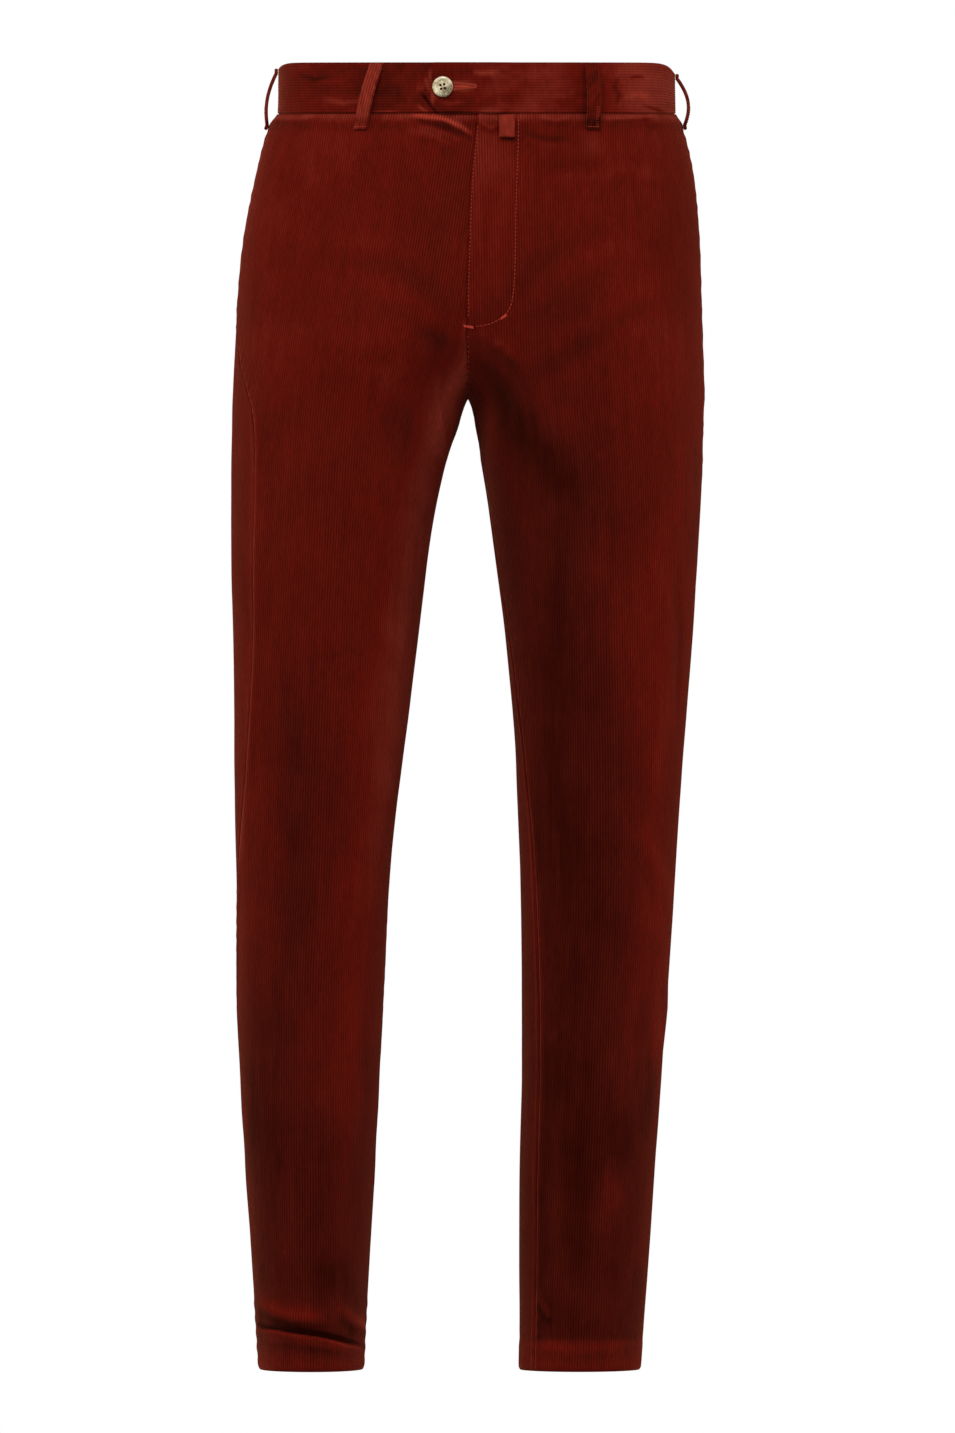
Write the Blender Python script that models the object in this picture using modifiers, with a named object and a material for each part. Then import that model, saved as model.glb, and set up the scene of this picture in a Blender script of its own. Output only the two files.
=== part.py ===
"""Men's corduroy trousers in their worn shape, standing open and empty.

The garment faces -Y, its left side is +X and the origin is on the body's axis at mid-height of the waistband.
Sizes are in millimetres and "drop" is the distance below the waistband's top edge. Every cloth piece is a wall laid on
horizontal sections of the body and legs, whose breadths and depths stand in the tables below.
"""
from math import asin, cos, degrees, pi, radians, sin

import bmesh
import bpy
import numpy as np
from mathutils import Matrix, Vector
from mathutils.bvhtree import BVHTree

MM = 0.001
COLLECTION = "corduroy_trousers"

# Driving lengths
LENGTH = 1092.0
BAND_HEIGHT = 43.0
CROTCH = 276.0
CLOTH = 1.6
BAND_CLOTH = 2.4
LOOP_CLOTH = 2.0
SEAM = 0.3
WAIST_TILT = 0.03
ROUNDNESS_HIP = 2.25
ROUNDNESS_LEG = 2.0

# Sections of each side. "outer" is the distance from the body's axis to the side, "front" and "back" lie along Y, and
# "outseam" and "inseam" are the degrees by which the leg's seams have turned on the section.
COLUMNS = ("drop", "outer", "front", "back", "outseam", "inseam")
RIGHT_SIDE = (
    (0.0, 165.8, -103.5, 104.0, 0.0, 0.0),
    (43.0, 166.3, -104.0, 105.0, 0.0, 0.0),
    (54.0, 173.0, -106.0, 108.0, 0.0, 0.0),
    (98.0, 185.0, -112.0, 118.0, 0.0, 0.0),
    (150.0, 195.0, -116.0, 127.0, 0.0, 0.0),
    (205.0, 200.2, -117.0, 131.0, 4.0, 0.0),
    (245.0, 202.2, -114.5, 127.5, 16.0, 0.0),
    (276.0, 203.6, -111.0, 119.5, 30.0, 0.0),
    (283.0, 204.0, -110.2, 117.6, 33.0, 1.0),
    (300.0, 204.6, -108.0, 112.5, 37.0, 4.0),
    (340.0, 205.4, -103.0, 104.5, 40.0, 12.0),
    (400.0, 205.6, -96.5, 98.5, 40.0, 24.0),
    (480.0, 203.6, -87.0, 94.0, 39.0, 32.0),
    (580.0, 202.6, -75.0, 88.0, 32.0, 28.0),
    (680.0, 201.0, -65.0, 86.0, 14.0, 14.0),
    (780.0, 200.0, -59.0, 88.0, 3.0, 4.0),
    (840.0, 197.6, -55.0, 90.0, 0.0, 0.0),
    (930.0, 192.4, -50.0, 94.0, 0.0, 0.0),
    (1030.0, 186.0, -47.0, 98.0, 0.0, 0.0),
    (1092.0, 182.0, -47.0, 99.0, 0.0, 0.0),
)
LEFT_SIDE = (
    (0.0, 165.8, -103.5, 104.0, 0.0, 0.0),
    (43.0, 166.3, -104.0, 105.0, 0.0, 0.0),
    (54.0, 171.5, -106.0, 108.0, 0.0, 0.0),
    (98.0, 181.6, -112.0, 118.0, 0.0, 0.0),
    (150.0, 186.2, -116.0, 127.0, 0.0, 0.0),
    (205.0, 188.0, -117.0, 131.0, 0.0, 0.0),
    (245.0, 189.4, -114.5, 127.5, 0.0, 0.0),
    (276.0, 190.2, -111.0, 119.5, 0.0, 0.0),
    (283.0, 190.0, -110.2, 117.6, 0.0, -1.0),
    (300.0, 189.2, -108.0, 112.5, 0.0, -2.0),
    (340.0, 188.2, -103.0, 104.5, 0.0, -6.0),
    (400.0, 185.0, -96.5, 98.5, -4.0, -12.0),
    (480.0, 180.3, -87.0, 94.0, -12.0, -18.0),
    (580.0, 172.8, -75.0, 88.0, -24.0, -27.0),
    (680.0, 165.8, -65.0, 85.0, -34.0, -36.0),
    (780.0, 159.3, -59.0, 86.0, -40.0, -41.0),
    (840.0, 155.2, -55.0, 87.0, -42.0, -42.0),
    (930.0, 149.2, -50.0, 90.0, -42.0, -42.0),
    (1030.0, 141.8, -45.0, 94.0, -42.0, -42.0),
    (1092.0, 137.6, -44.0, 95.0, -42.0, -42.0),
)
SIDES = {-1: np.array(RIGHT_SIDE), 1: np.array(LEFT_SIDE)}
FRONT = COLUMNS.index("front")

# The centre line's place along X: straight down the band, then a little towards the right side
CENTRE_LINE = np.array((
    (0.0, 0.0), (BAND_HEIGHT, 0.0), (98.0, -4.8), (150.0, -7.0), (205.0, -8.3), (CROTCH, -7.1), (LENGTH, -7.1)))

# Above the crotch each half section is part of a whole one that the centre line cuts. "share" says where that whole
# one would end on the far side of the centre line: -1 is one round body, 0 is two legs that just touch.
SPLIT = np.array((
    (0.0, -1.0), (150.0, -1.0), (180.0, -0.84), (205.0, -0.58), (230.0, -0.33), (250.0, -0.155), (262.0, -0.07),
    (270.0, -0.024), (CROTCH, 0.0)))

# Distance from the centre line to the inside of each leg, below the crotch
PARTING_COLUMNS = ("drop", "right", "left")
PARTING = np.array((
    (CROTCH, 0.0, 0.0), (283.0, 3.0, 2.8), (300.0, 8.5, 6.8), (340.0, 20.5, 12.9), (400.0, 32.1, 20.9),
    (480.0, 42.3, 31.3), (580.0, 54.8, 40.0), (680.0, 65.6, 44.1), (780.0, 71.7, 45.1), (840.0, 74.6, 45.1),
    (930.0, 79.2, 43.5), (1030.0, 84.9, 43.4), (LENGTH, 88.1, 42.5)))

# The largest folds: a soft ridge (height above 0) or trough at a drop and an angle on the section, where 90 is the
# front and -90 the back. "along" and "across" are its half lengths, and "lean" turns its long way from the vertical.
FOLD_COLUMNS = ("side", "drop", "angle", "height", "along", "across", "lean")
FOLDS = (
    (-1, 318.0, 128.0, -3.0, 60.0, 24.0, 52.0),
    (1, 322.0, 126.0, -3.2, 70.0, 24.0, -48.0),
    (-1, 305.0, -104.0, -2.6, 62.0, 24.0, 72.0),
    (1, 314.0, -100.0, -3.0, 66.0, 24.0, -70.0),
    (-1, 640.0, -92.0, -3.5, 55.0, 22.0, 80.0),
    (1, 655.0, -84.0, -3.5, 55.0, 22.0, -76.0),
    (-1, 1048.0, 96.0, 2.6, 50.0, 22.0, 84.0),
    (1, 1040.0, 84.0, 2.0, 44.0, 24.0, -80.0),
)

# Drops of the cloth grid's rows on the fronts and backs, closest together where the seam turns under the body
PANEL_ROWS = (
    BAND_HEIGHT + SEAM / 2, 54.0, 74.0, 98.0, 125.0, 152.0, 180.0, 205.0, 225.0, 241.0, 253.0, 262.0, 268.5, 272.5,
    275.0, CROTCH, 279.0, 286.0, 297.0, 314.0, 340.0, 372.0, 410.0, 455.0, 510.0, 570.0, 630.0, 690.0, 750.0, 815.0,
    880.0, 945.0, 1005.0, 1040.0, 1066.0, LENGTH)
PANEL_COLUMNS = 10
BAND_ROWS = (0.0, 8.0, 32.0, BAND_HEIGHT - SEAM / 2)
BAND_COLUMNS = 28
TAB_REACH = 40.5
TAB_SLANT = 4.5
TAB_CORNER = 5.0
LAP_START = 80.0
TAB_COLUMNS = 5

# Belt loops: angle on the waist's section, sideways lean from top to foot, and how far the strap bows out
LOOP_WIDTH = 12.0
LOOP_HEAD = 1.0
LOOP_FOOT = 56.0
LOOP_TACK = 4.0
LOOP_COLUMNS = ("node", "side", "angle", "lean", "bow")
LOOPS = (
    ("belt_loop_front_right", -1, 59.0, 13.0, 4.4),
    ("belt_loop_front_left", 1, 57.5, 0.0, 4.4),
    ("belt_loop_side_right", -1, 0.5, 0.0, 3.4),
    ("belt_loop_side_left", 1, 0.5, 0.0, 4.2),
    ("belt_loop_back_right", -1, -57.0, 0.0, 4.4),
    ("belt_loop_back_left", 1, -57.0, 0.0, 4.4),
    ("belt_loop_back_centre", 1, -90.0, 0.0, 4.4),
)
LOOP_STATIONS = 11

# The small hanging loop under the band that keeps a belt's prong in line
KEEPER_ANGLE = 83.2
KEEPER_WIDTH = 12.5
KEEPER_CLOTH = 1.2
KEEPER_TOP = BAND_HEIGHT + 0.8
KEEPER_FOOT = 62.5
KEEPER_FOLD = 1.0

# Button
BUTTON_X = -28.0
BUTTON_DROP = 20.6
BUTTON_RADIUS = 8.6
BUTTON_THICK = 3.0
BUTTON_DISH = 0.9
BUTTON_RIM = 1.7
HOLE_RADIUS = 0.9
HOLE_SPREAD = 1.75
HOLE_TURN = 10.0

CORD_COLOUR = (0.105, 0.010, 0.005, 1.0)
BUTTON_COLOUR = (0.52, 0.41, 0.27, 1.0)


def clear_scene():
    for item in list(bpy.data.objects):
        bpy.data.objects.remove(item, do_unlink=True)


def make_material(name, colour, roughness):
    """One Principled BSDF; each piece gets its own."""
    material = bpy.data.materials.new(name)
    material.use_nodes = True
    shader = material.node_tree.nodes["Principled BSDF"]
    shader.inputs["Base Color"].default_value = colour
    shader.inputs["Roughness"].default_value = roughness
    shader.inputs["Metallic"].default_value = 0.0
    material.diffuse_color = colour
    return material


def smooth_curve(knots, values, at):
    """Monotone cubic through a table's column, so no bulge appears between its rows."""
    gaps = np.diff(knots)
    rises = np.diff(values) / gaps
    same_way = rises[:-1] * rises[1:] > 0
    weight_a = 2 * gaps[1:] + gaps[:-1]
    weight_b = gaps[1:] + 2 * gaps[:-1]
    safe_a = np.where(same_way, rises[:-1], 1.0)
    safe_b = np.where(same_way, rises[1:], 1.0)
    inner = np.where(same_way, (weight_a + weight_b) / (weight_a / safe_a + weight_b / safe_b), 0.0)
    slopes = np.concatenate(([rises[0]], inner, [rises[-1]]))
    at = np.clip(at, knots[0], knots[-1])
    cell = np.clip(np.searchsorted(knots, at, side="right") - 1, 0, len(gaps) - 1)
    t = (at - knots[cell]) / gaps[cell]
    rest = 1.0 - t
    return (values[cell] * rest * rest * (1 + 2 * t) + values[cell + 1] * t * t * (3 - 2 * t)
            + gaps[cell] * t * rest * (slopes[cell] * rest - slopes[cell + 1] * t))


def measure(side, name, drop):
    """One named column of a side's table at any drop."""
    table = SIDES[side]
    return smooth_curve(table[:, 0], table[:, COLUMNS.index(name)], drop)


def split_at(drop):
    """0 where the section is one round body, 1 where it is two whole legs."""
    share = smooth_curve(SPLIT[:, 0], SPLIT[:, 1], drop)
    return (1 + share) / (1 - share)


def parting_at(side, drop):
    column = PARTING_COLUMNS.index("right" if side < 0 else "left")
    return smooth_curve(PARTING[:, 0], PARTING[:, column], drop)


def centre_at(drop):
    return smooth_curve(CENTRE_LINE[:, 0], CENTRE_LINE[:, 1], drop)


def signed_power(value, power):
    return np.sign(value) * np.abs(value) ** power


def section_point(side, drop, angle):
    """A point of the bare section: angle 0 is the outer side, 90 the front, 180 the inside of the leg."""
    outer = measure(side, "outer", drop)
    inner = side * centre_at(drop) + parting_at(side, drop) + SEAM / 2
    front = measure(side, "front", drop)
    back = measure(side, "back", drop)
    split = split_at(drop)
    half_breadth = (outer - inner) / (1 + split)
    roundness = 2 / (ROUNDNESS_HIP + (ROUNDNESS_LEG - ROUNDNESS_HIP) * split)
    turn = np.radians(angle)
    x = outer - half_breadth + half_breadth * signed_power(np.cos(turn), roundness)
    y = (front + back) / 2 - (back - front) / 2 * signed_power(np.sin(turn), roundness)
    tilt = WAIST_TILT * np.clip(1 - drop / CROTCH, 0, 1)
    z = BAND_HEIGHT / 2 - drop + tilt * (y - SIDES[side][0, FRONT])
    return np.stack((side * x, y, z), axis=-1)


def outward(side, drop, angle, place=section_point):
    """Unit normals of a surface, from small steps round and along it."""
    turn, step = 1.0, 0.75
    around = place(side, drop, angle + turn) - place(side, drop, angle - turn)
    down = place(side, drop + step, angle) - place(side, drop - step, angle)
    normal = np.cross(around, down) * side
    return normal / np.linalg.norm(normal, axis=-1, keepdims=True)


def fold_height(side, drop, angle):
    """Height of the folds above the bare section."""
    height = np.zeros_like(angle)
    girth = np.pi * (measure(side, "back", drop) - measure(side, "front", drop)) / 360
    for row in FOLDS:
        fold = dict(zip(FOLD_COLUMNS, row))
        if fold["side"] != side:
            continue
        down = drop - fold["drop"]
        across = (angle - fold["angle"]) * girth
        lean = radians(fold["lean"])
        long_way = down * cos(lean) + across * sin(lean)
        short_way = across * cos(lean) - down * sin(lean)
        height = height + fold["height"] * np.exp(-(long_way / fold["along"]) ** 2
                                                  - (short_way / fold["across"]) ** 2)
    return height


def cloth_point(side, drop, angle):
    """The outer face of the cloth, folds included."""
    lift = fold_height(side, drop, angle)[..., None]
    return section_point(side, drop, angle) + lift * outward(side, drop, angle)


def centre_angle(drop):
    """Angle at which the half section meets the centre line, or 180 on a whole leg."""
    split = split_at(drop)
    roundness = ROUNDNESS_HIP + (ROUNDNESS_LEG - ROUNDNESS_HIP) * split
    return 180 - np.degrees(np.arccos(np.clip(split, 0, 1) ** (roundness / 2)))


def even_angles(side, drop, start, end, count, trim_start, trim_end):
    """Angles at even lengths along one section, with the seam gaps taken off its ends."""
    fine = np.linspace(start, end, 121)
    points = section_point(side, np.full_like(fine, drop), fine)
    run = np.concatenate(([0.0], np.cumsum(np.linalg.norm(np.diff(points, axis=0), axis=1))))
    return np.interp(np.linspace(trim_start, run[-1] - trim_end, count), run, fine)


def wall_object(name, outer, inner, material, collection):
    """A closed wall between an outer and an inner grid of points (rows x columns), in millimetres."""
    rows, columns = outer.shape[:2]
    mesh = bpy.data.meshes.new(name)
    build = bmesh.new()
    out = [[build.verts.new(Vector(outer[i, j]) * MM) for j in range(columns)] for i in range(rows)]
    back = [[build.verts.new(Vector(inner[i, j]) * MM) for j in range(columns)] for i in range(rows)]
    for i in range(rows - 1):
        for j in range(columns - 1):
            build.faces.new((out[i][j], out[i + 1][j], out[i + 1][j + 1], out[i][j + 1]))
            build.faces.new((back[i][j], back[i][j + 1], back[i + 1][j + 1], back[i + 1][j]))
    for i in range(rows - 1):
        build.faces.new((out[i + 1][0], out[i][0], back[i][0], back[i + 1][0]))
        build.faces.new((out[i][-1], out[i + 1][-1], back[i + 1][-1], back[i][-1]))
    for j in range(columns - 1):
        build.faces.new((out[0][j], out[0][j + 1], back[0][j + 1], back[0][j]))
        build.faces.new((out[-1][j + 1], out[-1][j], back[-1][j], back[-1][j + 1]))
    bmesh.ops.recalc_face_normals(build, faces=build.faces)
    build.to_mesh(mesh)
    build.free()
    mesh.shade_smooth()
    mesh.set_sharp_from_angle(angle=radians(40))
    mesh.materials.append(material)
    piece = bpy.data.objects.new(name, mesh)
    collection.objects.link(piece)
    return piece


def build_panel(name, side, face, collection):
    """A front (face 1) or back (face -1) from the waist seam to the hem, side seam to centre or inseam."""
    outer = []
    inner = []
    for drop in PANEL_ROWS:
        start = float(measure(side, "outseam", drop))
        whole_leg = drop >= CROTCH
        end = face * float(centre_angle(drop)) + float(measure(side, "inseam", drop))
        angles = even_angles(side, drop, start, end, PANEL_COLUMNS, SEAM / 2, SEAM / 2 if whole_leg else 0.0)
        drops = np.full_like(angles, drop)
        points = cloth_point(side, drops, angles)
        outer.append(points)
        inner.append(points - CLOTH * outward(side, drops, angles, cloth_point))
    material = make_material(name + "_corduroy", CORD_COLOUR, 0.9)
    return wall_object(name, np.array(outer), np.array(inner), material, collection)


def build_band(name, side, with_tab, collection):
    """Half of the waistband, from the centre back to the centre front; the left one laps over the right."""
    outer = []
    inner = []
    lap = BAND_CLOTH + SEAM
    for drop in BAND_ROWS:
        angles = even_angles(side, drop, -90.0, 90.0, BAND_COLUMNS, SEAM / 2, 1.0)
        lift = np.zeros_like(angles)
        if with_tab:
            angles = angles[angles < LAP_START]
            middle = (drop - BAND_HEIGHT / 2) / (BAND_HEIGHT / 2)
            rounding = TAB_CORNER * max(0.0, abs(middle) - 0.75) / 0.25
            end_x = TAB_REACH - TAB_SLANT * drop / BAND_HEIGHT - rounding
            end = 90 + degrees(asin((end_x / SIDES[1][0, 1]) ** (ROUNDNESS_HIP / 2)))
            start = angles[-1]
            tab = even_angles(side, drop, 90.0, end, TAB_COLUMNS, 0.0, 0.0)
            ramp = np.linspace(start, 90.0, 5)[1:-1]
            angles = np.concatenate((angles, ramp, tab))
            lift = lap * np.clip((angles - start) / (87.0 - start), 0, 1)
        drops = np.full_like(angles, drop)
        normal = outward(side, drops, angles)
        points = section_point(side, drops, angles) + lift[:, None] * normal
        outer.append(points)
        inner.append(points - BAND_CLOTH * normal)
    material = make_material(name + "_corduroy", CORD_COLOUR, 0.9)
    return wall_object(name, np.array(outer), np.array(inner), material, collection)


def cloth_tree(pieces):
    """A search tree over finished pieces, for laying straps and the button on them."""
    points = []
    faces = []
    for piece in pieces:
        start = len(points)
        points.extend(vertex.co / MM for vertex in piece.data.vertices)
        faces.extend([start + index for index in face.vertices] for face in piece.data.polygons)
    return BVHTree.FromPolygons(points, faces)


def waist_place(side, angle, drop, out=0.0):
    """A point out from the waist's section by a distance, at a drop, and the level directions out and along there."""
    base = Vector(section_point(side, np.array(BAND_HEIGHT / 2), np.array(angle)))
    way = Vector(outward(side, np.array(BAND_HEIGHT / 2), np.array(angle)))
    way.z = 0
    way.normalize()
    along = Vector((-way.y, way.x, 0)) * side
    base.z += BAND_HEIGHT / 2 - drop
    return base + way * out, way, along


def seat_height(tree, side, drop, angle, shift, width):
    """How far the pieces under a strap stand out from the waist's section at a drop."""
    base, way, along = waist_place(side, angle, drop)
    heights = []
    for share in (-0.5, -0.25, -0.06, 0.06, 0.25, 0.5):
        start = base + along * (shift + share * width) + way * 40
        hit = tree.ray_cast(start, -way)[0]
        if hit is not None:
            heights.append((hit - base).dot(way))
    return max(heights)


def build_strap(name, side, angle, lean, width, thick, path, collection):
    """A bent strap: path lists its middle line as (distance out from the waist's section, drop)."""
    path = np.array(path)
    ahead = np.gradient(path, axis=0)
    ahead /= np.linalg.norm(ahead, axis=1, keepdims=True)
    face_out = np.stack((ahead[:, 1], -ahead[:, 0]), axis=1)
    drops = path[:, 1]
    shares = (drops - drops.min()) / (drops.max() - drops.min()) - 0.5
    grids = []
    for offset in (thick / 2, -thick / 2):
        line = path + offset * face_out
        grid = []
        for (out, drop), share in zip(line, shares):
            centre, way, along = waist_place(side, angle, drop, out)
            grid.append([centre + along * (lean * share + width * part) for part in (-0.5, 0.5)])
        grids.append(np.array(grid))
    material = make_material(name + "_corduroy", CORD_COLOUR, 0.9)
    return wall_object(name, grids[0], grids[1], material, collection)


def build_loop(row, tree, collection):
    """A belt loop, sewn to the band's top edge and below the waist seam and bowed out between."""
    loop = dict(zip(LOOP_COLUMNS, row))
    side, angle, lean = loop["side"], loop["angle"], loop["lean"]
    clear = 1.4 * SEAM + LOOP_CLOTH / 2
    foot_start = LOOP_FOOT - LOOP_TACK
    top_seat = seat_height(tree, side, LOOP_HEAD + 1, angle, -lean / 2, LOOP_WIDTH) + clear
    upper_seat = seat_height(tree, side, foot_start, angle, lean / 2, LOOP_WIDTH) + clear
    middle_seat = seat_height(tree, side, (foot_start + LOOP_FOOT) / 2, angle, lean / 2, LOOP_WIDTH) + clear
    foot_seat = seat_height(tree, side, LOOP_FOOT, angle, lean / 2, LOOP_WIDTH) + clear
    swell = max(0.0, middle_seat - (upper_seat + foot_seat) / 2)
    upper_seat += swell
    foot_seat += swell
    path = [(top_seat, LOOP_HEAD)]
    for share in np.linspace(0.0, 1.0, LOOP_STATIONS):
        out = top_seat + (upper_seat - top_seat) * share + loop["bow"] * sin(pi * share)
        path.append((out, LOOP_HEAD + LOOP_TACK + (foot_start - LOOP_HEAD - LOOP_TACK) * share))
    path.append((foot_seat, LOOP_FOOT))
    return build_strap(loop["node"], side, angle, lean, LOOP_WIDTH, LOOP_CLOTH, path, collection)


def build_keeper(tree, collection):
    """The prong keeper: a short strap folded into a flat loop that hangs from the waist seam."""
    seats = [seat_height(tree, 1, drop, KEEPER_ANGLE, 0.0, KEEPER_WIDTH) for drop in (46.0, 54.0, KEEPER_FOOT)]
    lean_out = (seats[2] - seats[0]) / (KEEPER_FOOT - 46.0)
    near = max(seats[0], seats[1] - lean_out * 8.0) + SEAM + KEEPER_CLOTH / 2
    far = near + 2 * KEEPER_FOLD
    straight = KEEPER_FOOT - KEEPER_CLOTH / 2 - KEEPER_FOLD
    flat = [(near, KEEPER_TOP), (near, 50.0), (near, 56.0), (near, straight)]
    fold = [(near + KEEPER_FOLD * (1 - cos(turn)), straight + KEEPER_FOLD * sin(turn))
            for turn in np.linspace(0, pi, 7)[1:-1]]
    rise = [(far, straight), (far, 56.0), (far, 50.0), (far, KEEPER_TOP)]
    path = [(out + lean_out * (drop - 46.0), drop) for out, drop in flat + fold + rise]
    return build_strap("prong_keeper", 1, KEEPER_ANGLE, 0.0, KEEPER_WIDTH, KEEPER_CLOTH, path, collection)


def cut_hole(piece, centre, radius, cutters):
    """Bore one thread hole through the button."""
    mesh = bpy.data.meshes.new("hole_cutter")
    build = bmesh.new()
    bmesh.ops.create_cone(build, cap_ends=True, segments=12, radius1=radius * MM, radius2=radius * MM,
                          depth=4 * BUTTON_THICK * MM)
    bmesh.ops.translate(build, verts=build.verts, vec=Vector(centre) * MM)
    build.to_mesh(mesh)
    build.free()
    cutter = bpy.data.objects.new("hole_cutter", mesh)
    cutters.objects.link(cutter)
    cutter.matrix_world = piece.matrix_world
    cutter.hide_render = True
    cutter.display_type = "WIRE"
    cut = piece.modifiers.new("hole", "BOOLEAN")
    cut.operation = "DIFFERENCE"
    cut.object = cutter
    cut.solver = "EXACT"


def build_button(tree, collection, cutters):
    """A turned four-hole button with a raised rim, buttoned over the tab."""
    angle = 90 + degrees(asin((abs(BUTTON_X) / SIDES[1][0, 1]) ** (ROUNDNESS_HIP / 2)))
    half = BUTTON_THICK / 2
    seat = seat_height(tree, 1, BUTTON_DROP, angle, 0.0, 2 * BUTTON_RADIUS)
    centre, way, across = waist_place(1, angle, BUTTON_DROP, seat + SEAM + half)
    profile = [(0.0, half - BUTTON_DISH), (BUTTON_RADIUS - 2 * BUTTON_RIM, half - BUTTON_DISH)]
    profile += [(BUTTON_RADIUS - BUTTON_RIM - BUTTON_RIM * cos(turn) * 0.6, half - BUTTON_DISH * (1 - sin(turn)))
                for turn in np.linspace(0.2, pi / 2, 4)]
    profile += [(BUTTON_RADIUS - half * 0.7 * (1 - cos(turn)), half * sin(turn))
                for turn in np.linspace(pi / 2, -pi / 2, 7)[1:]]
    profile += [(0.0, -half)]
    mesh = bpy.data.meshes.new("button")
    edges = [(i, i + 1) for i in range(len(profile) - 1)]
    mesh.from_pydata([(x * MM, 0.0, z * MM) for x, z in profile], edges, [])
    mesh.materials.append(make_material("button_horn", BUTTON_COLOUR, 0.35))
    button = bpy.data.objects.new("button", mesh)
    collection.objects.link(button)
    frame = Matrix((across, Vector((0, 0, 1)), way)).transposed().to_4x4()
    button.matrix_world = Matrix.Translation(centre * MM) @ frame
    screw = button.modifiers.new("turned", "SCREW")
    screw.axis = "Z"
    screw.steps = 32
    screw.render_steps = 32
    screw.use_merge_vertices = True
    screw.merge_threshold = 0.00001
    screw.use_normal_calculate = True
    for index in range(4):
        turn = radians(45 + HOLE_TURN + 90 * index)
        spot = (HOLE_SPREAD * cos(turn), HOLE_SPREAD * sin(turn), 0.0)
        cut_hole(button, spot, HOLE_RADIUS, cutters)
    return button


def build_trousers():
    clear_scene()
    collection = bpy.data.collections.new(COLLECTION)
    cutters = bpy.data.collections.new("cutters")
    bpy.context.scene.collection.children.link(collection)
    bpy.context.scene.collection.children.link(cutters)
    cloth = []
    for side, word in ((-1, "right"), (1, "left")):
        cloth.append(build_panel("front_" + word, side, 1, collection))
        cloth.append(build_panel("back_" + word, side, -1, collection))
        cloth.append(build_band("waistband_" + word, side, side == 1, collection))
    tree = cloth_tree(cloth)
    for row in LOOPS:
        build_loop(row, tree, collection)
    build_keeper(tree, collection)
    build_button(tree, collection, cutters)


build_trousers()
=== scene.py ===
"""Looks of the worn corduroy trousers: ribbed cloth, waistband, loops, stitches, button, light and camera.

The form functions and their tables are the part's own, in millimetres: "drop" is the distance below the
waistband's top edge, and an angle on a section is 0 at the outer side, 90 at the front, -90 at the back and
180 inside the leg. Side 1 is the wearer's left and +X, side -1 the wearer's right; face 1 is the front and
face -1 the back.
"""
from math import asin, cos, degrees, pi, radians, sin

import bpy
import numpy as np
from mathutils import Matrix, Vector
from mathutils.bvhtree import BVHTree


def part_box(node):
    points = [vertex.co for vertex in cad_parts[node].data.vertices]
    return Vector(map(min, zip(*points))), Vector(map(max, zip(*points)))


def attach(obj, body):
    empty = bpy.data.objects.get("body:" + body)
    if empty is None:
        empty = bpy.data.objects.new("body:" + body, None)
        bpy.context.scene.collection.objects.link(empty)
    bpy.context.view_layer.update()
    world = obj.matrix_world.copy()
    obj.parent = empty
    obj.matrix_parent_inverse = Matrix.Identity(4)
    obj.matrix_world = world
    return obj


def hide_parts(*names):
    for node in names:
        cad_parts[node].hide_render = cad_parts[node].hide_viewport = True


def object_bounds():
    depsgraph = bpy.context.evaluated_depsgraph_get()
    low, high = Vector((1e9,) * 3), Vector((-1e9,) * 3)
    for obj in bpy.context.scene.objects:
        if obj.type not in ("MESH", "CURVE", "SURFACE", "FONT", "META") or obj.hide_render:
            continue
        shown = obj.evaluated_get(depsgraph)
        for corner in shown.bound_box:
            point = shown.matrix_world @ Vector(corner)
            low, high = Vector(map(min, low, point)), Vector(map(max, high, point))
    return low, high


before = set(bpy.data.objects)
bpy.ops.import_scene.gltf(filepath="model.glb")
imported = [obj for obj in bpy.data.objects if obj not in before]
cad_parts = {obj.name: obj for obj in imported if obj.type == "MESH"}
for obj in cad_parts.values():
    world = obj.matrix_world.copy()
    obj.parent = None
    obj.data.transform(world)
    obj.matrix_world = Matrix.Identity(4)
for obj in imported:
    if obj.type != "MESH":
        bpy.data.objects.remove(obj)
cad_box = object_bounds()

MM = 0.001

# ---------------------------------------------------------------- form

LENGTH = 1092.0
BAND_HEIGHT = 43.0
CROTCH = 276.0
CLOTH = 1.6
BAND_CLOTH = 2.4
LOOP_CLOTH = 2.0
SEAM = 0.3
WAIST_TILT = 0.03
ROUNDNESS_HIP = 2.25
ROUNDNESS_LEG = 2.0

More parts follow.
